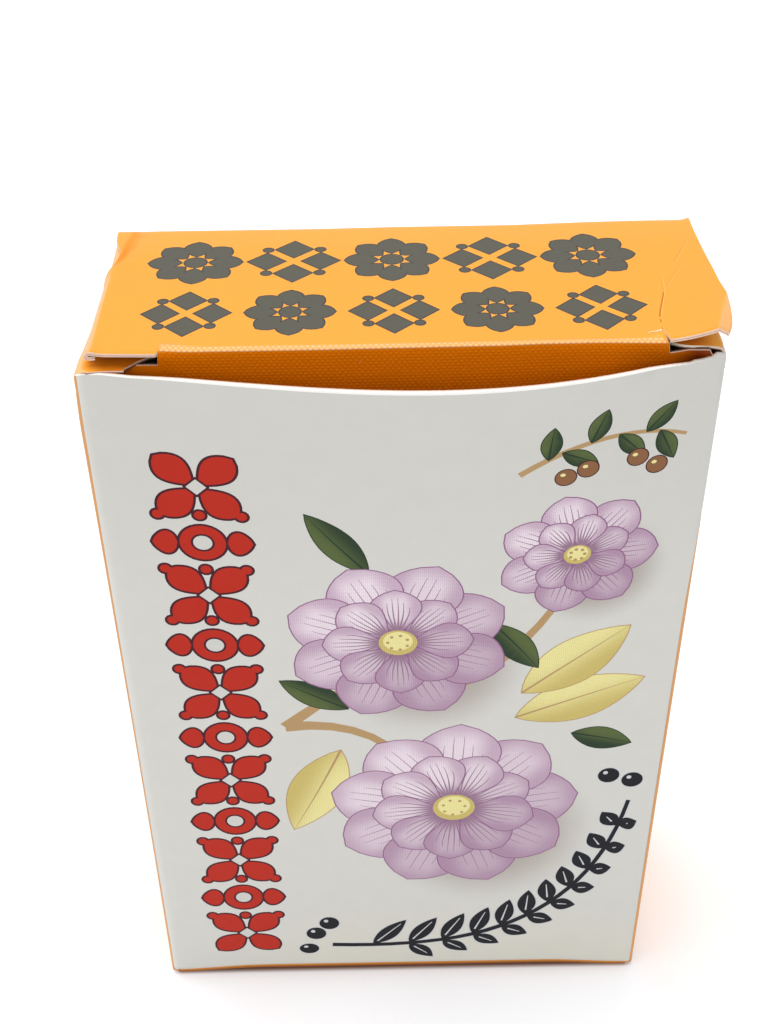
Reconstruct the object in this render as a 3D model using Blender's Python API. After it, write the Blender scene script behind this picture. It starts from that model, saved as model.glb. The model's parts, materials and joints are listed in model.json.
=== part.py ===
"""A small upright folding carton of printed paperboard, empty.

Its top closes with a tuck lid whose slits catch the shoulders of two dust flaps, and its bottom is
glued shut. The front faces -Y, +Z is up, and the origin is the middle of the bottom face.
Each flap is a flat piece of board that starts at a crease, and its object's origin lies on that crease.
"""

import math

import bmesh
import bpy
from mathutils import Euler, Vector

MM = 0.001

# Driving dimensions, in millimetres
WIDTH = 60.0
DEPTH = 26.0
HEIGHT = 95.0
BOARD = 0.45
GAP = 0.3

# The front panel's top edge is pushed out by the tuck flap behind it
BOW = 4.4
BOW_SHARPNESS = 1.25
BOW_LEAN = 0.45
BOW_FADE = 3.0
BOW_COLUMNS = 24
BOW_ROWS = 12

# Tuck lid, which sits a little to the right of the walls, with its right front corner bent up
LID_LENGTH = 24.9
LID_HALF_WIDTH = 30.2
LID_SHIFT = 0.85
LID_LIFT_DEG = 2.5
LID_BEND = 1.3
LID_BEND_START = 12.0
LID_CELL = 3.0
SLIT_INNER_X = 23.5
WING_REACH = 0.9

# Tuck flap behind the front panel
TUCK_LENGTH = 13.0
TUCK_TILT_DEG = 12.0
TUCK_CORNER_RADIUS = 9.0
TUCK_START = 0.85
EAR_OUTER_X = 26.8
EAR_DROP = 1.4
EAR_CLEARANCE = 0.4

# Dust flaps at the top
DUST_LENGTH = 22.0
DUST_DROP = 0.3
DUST_FRONT_Y = -9.6
DUST_BACK_Y = 12.0
DUST_TAPER_DEG = 28.0
DUST_CORNER_RADIUS = 2.5
SHOULDER_FRONT_Y = -11.9

# Glued bottom
INNER_FLAP_LENGTH = 18.0
BOTTOM_SIDE_FLAP_LENGTH = 20.0
BOTTOM_FLAP_CHAMFER = 2.0
BOTTOM_SIDE_CLEARANCE = 0.2

# Glue seam inside the rear right corner
SEAM_WIDTH = 11.0
SEAM_END_TAPER = 3.0
SEAM_END_GAP = 0.5
SEAM_SINK = 0.15

ARC_STEP_DEG = 15.0
CUT_PAST = 1.0

LAYER = BOARD + GAP
HALF_WIDTH = WIDTH / 2
HALF_DEPTH = DEPTH / 2
LID_CREASE_Z = HEIGHT + BOARD
DUST_CREASE_Z = HEIGHT - DUST_DROP

WHITE_BOARD = (0.80, 0.79, 0.75)
ORANGE_PRINT = (0.93, 0.42, 0.07)
RAW_BOARD = (0.62, 0.53, 0.44)


def clear_scene():
    for item in list(bpy.data.objects):
        bpy.data.objects.remove(item)


def board_material(name, colour, roughness):
    material = bpy.data.materials.new(name)
    material.use_nodes = True
    shader = material.node_tree.nodes["Principled BSDF"]
    shader.inputs["Base Color"].default_value = (*colour, 1)
    shader.inputs["Roughness"].default_value = roughness
    shader.inputs["Metallic"].default_value = 0
    return material


def add_object(name, mesh, material):
    item = bpy.data.objects.new(name, mesh)
    item.data.materials.append(material)
    bpy.context.collection.objects.link(item)
    return item


def prism_mesh(name, outline, low, high):
    """A closed prism: an anticlockwise outline in x and y, from z low to z high, all in millimetres."""
    form = bmesh.new()
    lower = [form.verts.new(Vector((x, y, low)) * MM) for x, y in outline]
    upper = [form.verts.new(Vector((x, y, high)) * MM) for x, y in outline]
    form.faces.new(list(reversed(lower)))
    form.faces.new(upper)
    for i in range(len(outline)):
        j = (i + 1) % len(outline)
        form.faces.new((lower[i], lower[j], upper[j], upper[i]))
    mesh = bpy.data.meshes.new(name)
    form.to_mesh(mesh)
    form.free()
    return mesh


def rounded(corners):
    """An outline from corners (x, y, radius), with an arc where the radius isn't zero."""
    outline = []
    for i, (x, y, radius) in enumerate(corners):
        corner = Vector((x, y))
        if radius == 0:
            outline.append((x, y))
            continue
        before = (Vector(corners[i - 1][:2]) - corner).normalized()
        after = (Vector(corners[(i + 1) % len(corners)][:2]) - corner).normalized()
        half = before.angle(after) / 2
        centre = corner + (before + after).normalized() * (radius / math.sin(half))
        start = corner + before * (radius / math.tan(half)) - centre
        sweep = start.angle_signed(corner + after * (radius / math.tan(half)) - centre)
        steps = max(2, round(abs(math.degrees(sweep)) / ARC_STEP_DEG))
        for k in range(steps + 1):
            turn = -sweep * k / steps
            spun = Vector(
                (
                    start.x * math.cos(turn) - start.y * math.sin(turn),
                    start.x * math.sin(turn) + start.y * math.cos(turn),
                )
            )
            outline.append(tuple(centre + spun))
    return outline


def flap(name, outline, crease, turn_deg, material, parent=None):
    """A flat flap. In its own frame it starts at a crease along X, runs towards -Y, and its outer
    face is at z = 0, so that it turns about its own origin."""
    item = add_object(name, prism_mesh(name, outline, -BOARD, 0), material)
    item.parent = parent
    item.location = Vector(crease) * MM
    item.rotation_euler = Euler([math.radians(angle) for angle in turn_deg])
    return item


def bow_at(across, height):
    """How far the front panel stands forward; across runs from -1 to 1 and height from 0 to 1."""
    crown = (1 - across * across) ** BOW_SHARPNESS
    return BOW * crown * (1 + BOW_LEAN * across) * height**BOW_FADE


def wall_loop(inset, height):
    """One level of the sleeve: along the bowed front from left to right, then the two rear corners."""
    side = HALF_WIDTH - inset
    depth = HALF_DEPTH - inset
    loop = []
    for i in range(BOW_COLUMNS + 1):
        across = 2 * i / BOW_COLUMNS - 1
        loop.append((across * side, -depth - bow_at(across, height), height * HEIGHT))
    loop.append((side, depth, height * HEIGHT))
    loop.append((-side, depth, height * HEIGHT))
    return loop


def sleeve_mesh():
    form = bmesh.new()
    levels = []
    for row in range(BOW_ROWS + 1):
        height = row / BOW_ROWS
        outer = [form.verts.new(Vector(point) * MM) for point in wall_loop(0, height)]
        inner = [form.verts.new(Vector(point) * MM) for point in wall_loop(BOARD, height)]
        levels.append((outer, inner))
    count = len(levels[0][0])
    for i in range(count):
        j = (i + 1) % count
        for (outer, inner), (outer_up, inner_up) in zip(levels, levels[1:]):
            form.faces.new((outer[i], outer[j], outer_up[j], outer_up[i]))
            form.faces.new((inner[j], inner[i], inner_up[i], inner_up[j]))
        outer, inner = levels[0]
        form.faces.new((outer[j], outer[i], inner[i], inner[j]))
        outer, inner = levels[-1]
        form.faces.new((outer[i], outer[j], inner[j], inner[i]))
    mesh = bpy.data.meshes.new("sleeve")
    form.to_mesh(mesh)
    form.free()
    return mesh


def helper_solid(name, outline, low, high, material):
    """A guide solid that only shapes the sleeve."""
    item = add_object(name, prism_mesh(name, outline, low, high), material)
    item.hide_render = True
    item.display_type = "WIRE"
    return item


def shape_with(item, tool, operation):
    step = item.modifiers.new(tool.name, "BOOLEAN")
    step.operation = operation
    step.solver = "EXACT"
    step.object = tool


def box_outline(low_x, high_x, low_y, high_y):
    return [(low_x, low_y), (high_x, low_y), (high_x, high_y), (low_x, high_y)]


def make_sleeve(material):
    """The four walls with the glue seam. Each wall stops short of the flap that folds over it."""
    sleeve = add_object("sleeve", sleeve_mesh(), material)
    side = HALF_WIDTH + CUT_PAST
    front = -HALF_DEPTH - CUT_PAST
    rear = HALF_DEPTH + CUT_PAST
    top = HEIGHT + CUT_PAST
    front_inside = -HALF_DEPTH + LAYER
    rear_inside = HALF_DEPTH - BOARD - SEAM_SINK
    trims = {
        "trim_side_tops": (front_inside, rear_inside, DUST_CREASE_Z - LAYER, top),
        "trim_back_top": (rear_inside, rear, LID_CREASE_Z - LAYER, top),
        "trim_front_foot": (front, front_inside, -CUT_PAST, LAYER),
        "trim_side_feet": (front_inside, rear_inside, -CUT_PAST, 3 * LAYER),
        "trim_back_foot": (rear_inside, rear, -CUT_PAST, 2 * LAYER),
    }
    for name, (low_y, high_y, low_z, high_z) in trims.items():
        outline = box_outline(-side, side, low_y, high_y)
        shape_with(sleeve, helper_solid(name, outline, low_z, high_z, material), "DIFFERENCE")
    shape_with(sleeve, make_seam(material), "UNION")


def make_seam(material):
    """The glue flap, stuck to the inside of the right wall beside the rear corner."""
    rear = HALF_DEPTH - BOARD + SEAM_SINK
    front = rear - SEAM_WIDTH
    low = 3 * LAYER + SEAM_END_GAP
    high = DUST_CREASE_Z - 2 * LAYER - SEAM_END_GAP
    outline = [
        (front, low + SEAM_END_TAPER),
        (rear, low),
        (rear, high),
        (front, high - SEAM_END_TAPER),
    ]
    seam = helper_solid("seam", outline, -BOARD, SEAM_SINK, material)
    seam.location = Vector((HALF_WIDTH - BOARD, 0, 0)) * MM
    seam.rotation_euler = Euler((math.radians(90), 0, math.radians(90)))
    return seam


def make_bottom(material):
    """The glued bottom: side flaps first, then the inner flap, then the outer flap below."""
    across = HALF_WIDTH - BOTTOM_SIDE_CLEARANCE
    reach = DEPTH - LAYER
    cut = BOTTOM_FLAP_CHAMFER
    outer = [(-across, 0), (-across, -reach), (across, -reach), (across, 0)]
    flap("bottom_outer_flap", outer, (0, -HALF_DEPTH, 0), (180, 0, 0), material)
    inner = [
        (-across, 0),
        (-across + cut, -INNER_FLAP_LENGTH),
        (across - cut, -INNER_FLAP_LENGTH),
        (across, 0),
    ]
    flap("bottom_inner_flap", inner, (0, HALF_DEPTH, LAYER), (0, 180, 0), material)
    half = HALF_DEPTH - LAYER
    side = [
        (-half, 0),
        (-half + cut, -BOTTOM_SIDE_FLAP_LENGTH),
        (half - cut, -BOTTOM_SIDE_FLAP_LENGTH),
        (half, 0),
    ]
    for name, sign in (("bottom_side_flap_left", -1), ("bottom_side_flap_right", 1)):
        flap(name, side, (sign * HALF_WIDTH, 0, 2 * LAYER), (0, 180, -sign * 90), material)


def dust_outline(shoulder):
    """A top side flap: a short shoulder at the front, beside the tuck flap's ear, and a tapered rear."""
    rear = DUST_BACK_Y
    tip_rear = rear - DUST_LENGTH * math.tan(math.radians(DUST_TAPER_DEG))
    radius = DUST_CORNER_RADIUS
    corners = [
        (SHOULDER_FRONT_Y, 0, 0),
        (SHOULDER_FRONT_Y, -shoulder, 0),
        (DUST_FRONT_Y, -shoulder, 0),
        (DUST_FRONT_Y, -DUST_LENGTH, radius),
        (tip_rear, -DUST_LENGTH, radius),
        (rear, 0, 0),
    ]
    return rounded(corners)


def make_dust_flaps(material):
    room = HALF_WIDTH - EAR_OUTER_X - EAR_CLEARANCE
    left = dust_outline(room + LID_SHIFT)
    right = [(-x, y) for x, y in reversed(dust_outline(room - LID_SHIFT))]
    crease = (HALF_WIDTH, 0, DUST_CREASE_Z)
    flap("dust_flap_left", left, (-crease[0], 0, crease[2]), (0, 0, 90), material)
    flap("dust_flap_right", right, crease, (0, 0, -90), material)


def spread(low, high):
    """Evenly spaced values from low to high, about a lid cell apart."""
    count = max(1, round((high - low) / LID_CELL))
    return [low + (high - low) * i / count for i in range(count + 1)]


def lid_height(x, y):
    """How far the lid is bent up out of its plane, at its right front corner."""
    right = max(0, (x - LID_BEND_START) / (LID_HALF_WIDTH + LID_SHIFT - LID_BEND_START))
    return LID_BEND * right**2 * (y / LID_LENGTH) ** 2


def lid_mesh():
    """A sheet of board over a grid of cells. Its last row exists only in the wings."""
    low, high = LID_SHIFT - LID_HALF_WIDTH, LID_SHIFT + LID_HALF_WIDTH
    slit_low, slit_high = LID_SHIFT - SLIT_INNER_X, LID_SHIFT + SLIT_INNER_X
    columns = spread(low, slit_low) + spread(slit_low, slit_high)[1:-1] + spread(slit_high, high)
    rows = [-y for y in spread(0, LID_LENGTH)] + [-LID_LENGTH - WING_REACH]
    cells = set()
    for i in range(len(columns) - 1):
        in_wing = columns[i + 1] <= slit_low or columns[i] >= slit_high
        for j in range(len(rows) - 1):
            if in_wing or j < len(rows) - 2:
                cells.add((i, j))
    form = bmesh.new()
    sheets = {}
    for i, j in sorted(cells):
        for corner in ((i, j), (i + 1, j), (i, j + 1), (i + 1, j + 1)):
            if corner not in sheets:
                x, y = columns[corner[0]], rows[corner[1]]
                top = lid_height(x, y)
                sheets[corner] = [form.verts.new(Vector((x, y, z)) * MM) for z in (top, top - BOARD)]
    for i, j in sorted(cells):
        ring = ((i, j), (i, j + 1), (i + 1, j + 1), (i + 1, j))
        form.faces.new([sheets[corner][0] for corner in ring])
        form.faces.new([sheets[corner][1] for corner in reversed(ring)])
        beside = ((i - 1, j), (i, j + 1), (i + 1, j), (i, j - 1))
        for k, neighbour in enumerate(beside):
            if neighbour not in cells:
                start, end = sheets[ring[k]], sheets[ring[(k + 1) % 4]]
                form.faces.new((start[0], start[1], end[1], end[0]))
    mesh = bpy.data.meshes.new("lid")
    form.to_mesh(mesh)
    form.free()
    return mesh


def make_lid(material):
    """The lid panel, with a wing on each side in front of the crease that carries the tuck flap."""
    lid = add_object("lid", lid_mesh(), material)
    lid.location = Vector((0, HALF_DEPTH, LID_CREASE_Z)) * MM
    lid.rotation_euler = Euler((math.radians(-LID_LIFT_DEG), 0, 0))
    return lid


def make_tuck_flap(lid, material):
    """The flap that tucks in behind the front panel, with an ear beyond each slit."""
    ear = EAR_OUTER_X
    slit = SLIT_INNER_X - GAP
    drop = TUCK_START + EAR_DROP
    corners = [
        (-slit, -TUCK_START, 0),
        (-slit, -drop, 0),
        (-ear, -drop, 0),
        (-ear, -TUCK_LENGTH, TUCK_CORNER_RADIUS),
        (ear, -TUCK_LENGTH, TUCK_CORNER_RADIUS),
        (ear, -drop, 0),
        (slit, -drop, 0),
        (slit, -TUCK_START, 0),
    ]
    turn = 90 + TUCK_TILT_DEG + LID_LIFT_DEG
    crease = (LID_SHIFT, -LID_LENGTH, 0)
    flap("tuck_flap", rounded(corners), crease, (turn, 0, 0), material, parent=lid)


def main():
    clear_scene()
    make_sleeve(board_material("coated_board", WHITE_BOARD, 0.4))
    make_bottom(board_material("bottom_print", ORANGE_PRINT, 0.45))
    make_dust_flaps(board_material("raw_board", RAW_BOARD, 0.85))
    lid = make_lid(board_material("lid_print", ORANGE_PRINT, 0.4))
    make_tuck_flap(lid, board_material("tuck_print", ORANGE_PRINT, 0.45))
    bpy.context.view_layer.update()


main()
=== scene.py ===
"""The looks of a small folding carton of printed paperboard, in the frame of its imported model.

Every panel and flap is a sheet: an outline drawn flat, in millimetres, as on the carton's blank, with
the print laid out on it as flat shapes. A place function then folds and bends the sheet into space.
Points on a flat sheet are complex numbers: the real part runs across and the imaginary part runs up.
"""

import json
import math

import bpy
import numpy as np
from mathutils import Matrix, Vector, kdtree
from mathutils.geometry import delaunay_2d_cdt


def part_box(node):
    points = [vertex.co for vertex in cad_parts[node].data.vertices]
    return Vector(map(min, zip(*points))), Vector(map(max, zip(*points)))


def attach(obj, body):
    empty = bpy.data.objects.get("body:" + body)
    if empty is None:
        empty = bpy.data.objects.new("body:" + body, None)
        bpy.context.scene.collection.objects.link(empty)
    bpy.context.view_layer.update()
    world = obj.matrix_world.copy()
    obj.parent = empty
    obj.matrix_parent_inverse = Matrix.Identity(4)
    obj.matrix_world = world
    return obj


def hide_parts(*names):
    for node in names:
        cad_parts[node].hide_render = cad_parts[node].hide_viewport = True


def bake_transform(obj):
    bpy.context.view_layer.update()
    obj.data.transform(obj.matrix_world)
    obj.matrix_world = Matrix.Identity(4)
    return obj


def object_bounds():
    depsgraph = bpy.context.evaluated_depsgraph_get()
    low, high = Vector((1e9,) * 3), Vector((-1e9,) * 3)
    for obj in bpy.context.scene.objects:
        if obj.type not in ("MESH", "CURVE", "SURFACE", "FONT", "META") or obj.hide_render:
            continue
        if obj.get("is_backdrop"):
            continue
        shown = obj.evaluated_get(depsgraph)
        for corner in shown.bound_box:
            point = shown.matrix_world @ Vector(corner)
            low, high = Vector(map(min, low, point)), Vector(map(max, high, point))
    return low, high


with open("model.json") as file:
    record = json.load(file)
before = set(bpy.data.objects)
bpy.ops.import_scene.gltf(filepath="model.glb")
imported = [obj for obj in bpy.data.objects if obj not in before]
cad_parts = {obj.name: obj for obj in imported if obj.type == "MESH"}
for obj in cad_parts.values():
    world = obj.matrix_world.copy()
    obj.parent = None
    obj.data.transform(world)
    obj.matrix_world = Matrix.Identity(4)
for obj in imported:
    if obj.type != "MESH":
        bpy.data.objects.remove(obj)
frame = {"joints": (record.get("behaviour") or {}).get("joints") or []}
cad_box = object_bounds()

MM = 0.001
BLANK_UV = 0.01


def box_mm(node):
    low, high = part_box(node)
    return low / MM, high / MM


def joint_mm(name):
    joint = next(j for j in frame["joints"] if j["name"] == name)
    return Vector(joint["pos_m"]) / MM


# Sizes read from the frame, in millimetres
SIDE = box_mm("sleeve")[1].x
REAR = box_mm("sleeve")[1].y
TOP = box_mm("sleeve")[1].z
DEPTH = 2 * REAR
BOARD = box_mm("bottom_outer_flap")[1].z
LAYER = box_mm("bottom_inner_flap")[0].z
LID_CREASE = joint_mm("lid_hinge")
TUCK_CREASE = joint_mm("tuck_hinge")
DUST_CREASE_Z = joint_mm("dust_left_hinge").z
LID_RIGHT = box_mm("lid")[1].x
LID_LEFT = box_mm("lid")[0].x
LID_MIDDLE = (LID_LEFT + LID_RIGHT) / 2

# The front panel's bow, a little fuller than the frame's, and the walls' small set
BOW = 4.92
BOW_SHARPNESS = 1.2
BOW_LEAN = 0.45
BOW_FADE = 3.0
LEFT_SKEW = -0.9
RIGHT_SKEW = 0.94
LEFT_PULL = 0.75
CORNER_FLARE = 0.36
LEFT_SPREAD = 0.15
RIGHT_BULGE = 0.15
FOOT_RISE = 0.75

CREASE_RADIUS = 0.6

# The lid's front: the tuck crease has crept forward, and the slits lean a little
TUCK_FORWARD = 0.75
TUCK_BEND_RADIUS = 0.16
SLIT_LEFT = LID_MIDDLE - 23.25
SLIT_RIGHT = LID_MIDDLE + 23.82
SLIT_HEAD_LEFT = complex(SLIT_LEFT + 0.24, 1.4)
SLIT_HEAD_RIGHT = complex(SLIT_RIGHT - 0.52, 1.6)
SLIT_GAP = 0.08
JOIN_V = 2.3
WING_REACH = 0.62
FLAP_BOARD = 0.37

# The embossing's rows of short dashes, and the band along the crease where they are worn pale, with
# painted highlights
EMBOSS_PITCH = 0.526
EMBOSS_ROW = 0.398
WORN_HIGHLIGHT_BAND = 0.62


# Colours


def linear(rgb):
    """Linear colour of an sRGB triple from 0 to 255."""
    return np.array([(c / 255 / 12.92) if c < 10 else ((c / 255 + 0.055) / 1.055) ** 2.4 for c in rgb])


WHITE_COAT = linear((202, 201, 195))
ORANGE = np.array([0.94, 0.392, 0.034])
# Deeper orange, painted as shade on the tuck flap's face, in the dented corner and under the torn lip
DEEP_SHADE_ORANGE = np.array([0.98, 0.24, 0.0006])
# Dim orange, painted as shade on the dust flaps under the lid
DIM_SHADE_ORANGE = np.array([0.56, 0.13, 0.0004])
# Dark orange, painted as shade towards the tuck flap's right ear and round the bottom's front crease
DARK_SHADE_ORANGE = np.array([0.16, 0.018, 0.0003])
# Tan orange, painted as shade and reflection along the front creases
CREASE_SHADE_ORANGE = linear((206, 150, 100))
SHADED_ORANGE = np.array([0.50, 0.19, 0.04])
# Pale orange, painted as highlight and reflection on the lid and at the dust flaps' creases
PALE_ORANGE = np.array([0.92, 0.55, 0.27])
GREY_INK = linear((86, 84, 72))
GREY_RIM = linear((66, 60, 60))
RED_INK = linear((180, 36, 16))
RED_RIM = linear((66, 20, 32))
BLACK_INK = linear((20, 21, 27))
PALE_LILAC = linear((226, 212, 220))
MAUVE = linear((184, 154, 176))
PLUM = linear((140, 98, 132))
PALE_YELLOW = linear((226, 217, 150))
STRAW = linear((196, 178, 104))
OLIVE = linear((84, 98, 54))
DARK_GREEN = linear((36, 56, 36))
TAN = linear((176, 144, 100))
BROWN = linear((134, 92, 60))
VEIN = linear((146, 116, 136))
GLINT = linear((200, 200, 202))
SOFT_SHADOW = linear((160, 148, 140))
CREAM = linear((209, 206, 190))
EDGE_PALE = linear((232, 200, 178))
EDGE_CORE = linear((170, 132, 118))
# Cut edge colours painted as shade, where edges lie in the slot's shadow
EDGE_SHADE_DEEP = linear((70, 42, 30))
EDGE_SHADE_DARK = linear((84, 44, 24))
EDGE_WHITE = linear((244, 242, 238))
# Cut edge colour brightened as painted light, with a warm bounce, on the right dust flap's edge
EDGE_LIT_CREAM = linear((226, 216, 198))
# Crack lines, darker as painted shade in their grooves, and a painted highlight beside them
CRACK_SHADE_INK = np.array([0.66, 0.17, 0.0005])
RIDGE_HIGHLIGHT_ORANGE = np.array([0.96, 0.50, 0.10])
# Pale orange of worn coating, also painted as highlights on the crease's dashes
WORN_AND_HIGHLIGHT_ORANGE = linear((255, 222, 190))

# How strongly the halftone screen shows in the orange grounds
ORANGE_DOTS = 0.3
DEEP_DOTS = 0.2


def solid(colour, dots=0.0):
    """An ink of one colour. Dots is how strongly its halftone screen shows."""

    def ink(points):
        return np.tile([*colour, dots], (len(points), 1))

    return ink


def screened(colour, dots):
    """Ink of a colour for each point, with the strength of its halftone screen."""
    return np.column_stack([colour, np.broadcast_to(dots, len(colour))])


def mix(low, high, share):
    """Colours between low and high, by a share for each point."""
    share = np.clip(share, 0, 1)[:, None]
    return low * (1 - share) + high * share


def smooth(low, high, value):
    """Rises smoothly from 0 at low to 1 at high. Low may be the larger."""
    t = np.clip((value - low) / (high - low), 0, 1)
    return t * t * (3 - 2 * t)


# Flat shapes


def ellipse(centre, across, up, count=28):
    angles = np.linspace(0, 2 * math.pi, count, endpoint=False)
    return centre + across * np.cos(angles) + 1j * up * np.sin(angles)


def lozenge(centre, across, up):
    return centre + np.array([across, 1j * up, -across, -1j * up])


def blade(base, tip, width, fullness=1.0, sharpness=0.8, count=13):
    """A leaf or petal from base to tip. Fullness above 1 puts its widest place nearer the tip."""
    t = np.linspace(0, 1, count)
    half = 0.5 * width / abs(tip - base) * np.sin(math.pi * t**fullness) ** sharpness
    half[0] = half[-1] = 0
    right = t - 1j * half
    left = (t + 1j * half)[-2:0:-1]
    return base + np.concatenate([right, left]) * (tip - base)


def stroke(points, width, end_width):
    """A ribbon along points, tapering from width to end_width."""
    path = np.array(points)
    widths = np.linspace(width, end_width, len(path))
    heading = np.gradient(path)
    side = 1j * heading / np.abs(heading) * widths / 2
    return np.concatenate([path - side, (path + side)[::-1]])


def curve(start, bend, end, count=9):
    """Points on a quadratic curve from start to end, pulled towards bend."""
    t = np.linspace(0, 1, count)
    return (1 - t) ** 2 * start + 2 * t * (1 - t) * bend + t**2 * end


def grown(outline, width):
    """An outline moved outwards by a width."""
    outline = anticlockwise(outline)
    before = outline - np.roll(outline, 1)
    after = np.roll(outline, -1) - outline
    before, after = before / np.abs(before), after / np.abs(after)
    middle = before + after
    middle /= np.abs(middle)
    return outline - 1j * middle * width / np.clip((np.conj(before) * middle).real, 0.4, 1)


def rimmed(shapes, ink, rim, width):
    """Motifs for shapes of one ink with a darker rim round them all."""
    return [(grown(shape, width), rim) for shape in shapes] + [(shape, ink) for shape in shapes]


def rays(count, turn_deg=0.0):
    """Unit headings at equal angles."""
    return [np.exp(1j * (2 * math.pi * k / count + math.radians(turn_deg))) for k in range(count)]


# Folded paths


def heading_from(start, end):
    """Unit heading from start to end."""
    return (end - start) / abs(end - start)


def folded_path(corners):
    """A path through corners (point, radius), rounded at each. Returns its pieces, each as start,
    first point, heading and curvature, with the middle of every bend and the whole length."""
    pieces, middles = [], []
    position, travelled = corners[0][0], 0.0
    for i in range(1, len(corners) - 1):
        corner, radius = corners[i]
        before = heading_from(corners[i - 1][0], corner)
        after = heading_from(corner, corners[i + 1][0])
        turn = np.angle(after / before)
        tangent = radius * math.tan(abs(turn) / 2)
        straight = abs(corner - position) - tangent
        pieces.append((travelled, position, before, 0.0))
        travelled += straight
        bend_start = position + before * straight
        pieces.append((travelled, bend_start, before, math.copysign(1 / radius, turn)))
        middles.append(travelled + radius * abs(turn) / 2)
        travelled += radius * abs(turn)
        position = corner + after * tangent
    last = corners[-1][0]
    pieces.append((travelled, position, heading_from(position, last), 0.0))
    return pieces, middles, travelled + abs(last - position)


def along(pieces, s):
    """Points on a folded path at lengths s."""
    s = np.asarray(s, float)
    found = np.empty(s.shape, complex)
    for k, (start, point, heading, bend) in enumerate(pieces):
        here = s >= start if k else np.ones(s.shape, bool)
        t = s[here] - start
        step = (np.exp(1j * bend * t) - 1) / (1j * bend) if bend else t
        found[here] = point + heading * step
    return found


# Sheets of board


def subdivided(outline, spacing):
    """An outline with points added, so that no side is longer than spacing."""
    points = []
    for i, start in enumerate(outline):
        end = outline[(i + 1) % len(outline)]
        count = max(1, math.ceil(abs(end - start) / spacing - 1e-6))
        points += [start + (end - start) * k / count for k in range(count)]
    return np.array(points)


def signed_area(outline):
    return 0.5 * np.sum((np.conj(outline) * np.roll(outline, -1)).imag)


def anticlockwise(outline):
    return outline if signed_area(outline) > 0 else outline[::-1]


def inside(outline, points):
    """Which points lie inside an outline, by counting crossings."""
    found = np.zeros(len(points), bool)
    for start, end in zip(outline, np.roll(outline, -1)):
        spans = (start.imag > points.imag) != (end.imag > points.imag)
        slope = (end.real - start.real) / (end.imag - start.imag or 1e-12)
        found ^= spans & (points.real < start.real + (points.imag - start.imag) * slope)
    return found


def grid(us, vs):
    """A point at every u and v."""
    u, v = np.meshgrid(us, vs)
    return (u + 1j * v).ravel()


def steps(low, high, spacing):
    """Evenly spaced numbers from low to high, about spacing apart."""
    count = max(1, round((high - low) / spacing))
    return np.linspace(low, high, count + 1)


FILL_CLEARANCE = 0.06


def triangulate(outline, motifs, fill):
    """Splits a flat sheet into triangles that follow its outline and motifs, through the fill points.
    Returns the points, the triangles and, for each triangle, the topmost motif's number or -1."""
    rings = [outline] + [anticlockwise(points) for points, ink in motifs]
    edge_points = np.concatenate(rings)
    tree = kdtree.KDTree(len(edge_points))
    for i, point in enumerate(edge_points):
        tree.insert((point.real, point.imag, 0), i)
    tree.balance()
    fill = fill[inside(outline, fill)]
    clear = [tree.find((p.real, p.imag, 0))[2] > FILL_CLEARANCE for p in fill]
    points = np.concatenate([edge_points, fill[np.array(clear, bool)]])
    faces, start = [], 0
    for ring in rings:
        faces.append(list(range(start, start + len(ring))))
        start += len(ring)
    flat = [Vector((p.real, p.imag)) for p in points]
    found, _, triangles, _, _, owners = delaunay_2d_cdt(flat, [], faces, 1, 1e-5)
    kept = [k for k, owner in enumerate(owners) if 0 in owner]
    triangles = np.array([triangles[k] for k in kept])
    used, numbers = np.unique(triangles, return_inverse=True)
    points = np.array([complex(found[k].x, found[k].y) for k in used])
    return points, numbers.reshape(triangles.shape), np.array([max(owners[k]) - 1 for k in kept])


def surface(place, points, step=0.01):
    """Places and outward normals of flat points."""
    across = place(points + step) - place(points - step)
    up = place(points + 1j * step) - place(points - 1j * step)
    normals = np.cross(across, up)
    return place(points), normals / np.linalg.norm(normals, axis=1)[:, None]


def boundary_edges(triangles):
    """Edges of one triangle only, each in its triangle's direction."""
    directed = np.concatenate([triangles[:, [0, 1]], triangles[:, [1, 2]], triangles[:, [2, 0]]])
    known = {(a, b) for a, b in directed}
    return [(a, b) for a, b in directed if (b, a) not in known]


# The cut edge's rows, as (share of the thickness, bulge), and the colours of the strips between them
EDGE_ROWS = ((0.15, 0.04), (0.44, 0.05), (0.58, 0.045), (0.85, 0.04))
PLAIN_EDGE = (EDGE_PALE, EDGE_PALE, EDGE_CORE, EDGE_PALE, EDGE_PALE)
SHARP_DEG = 50


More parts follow.
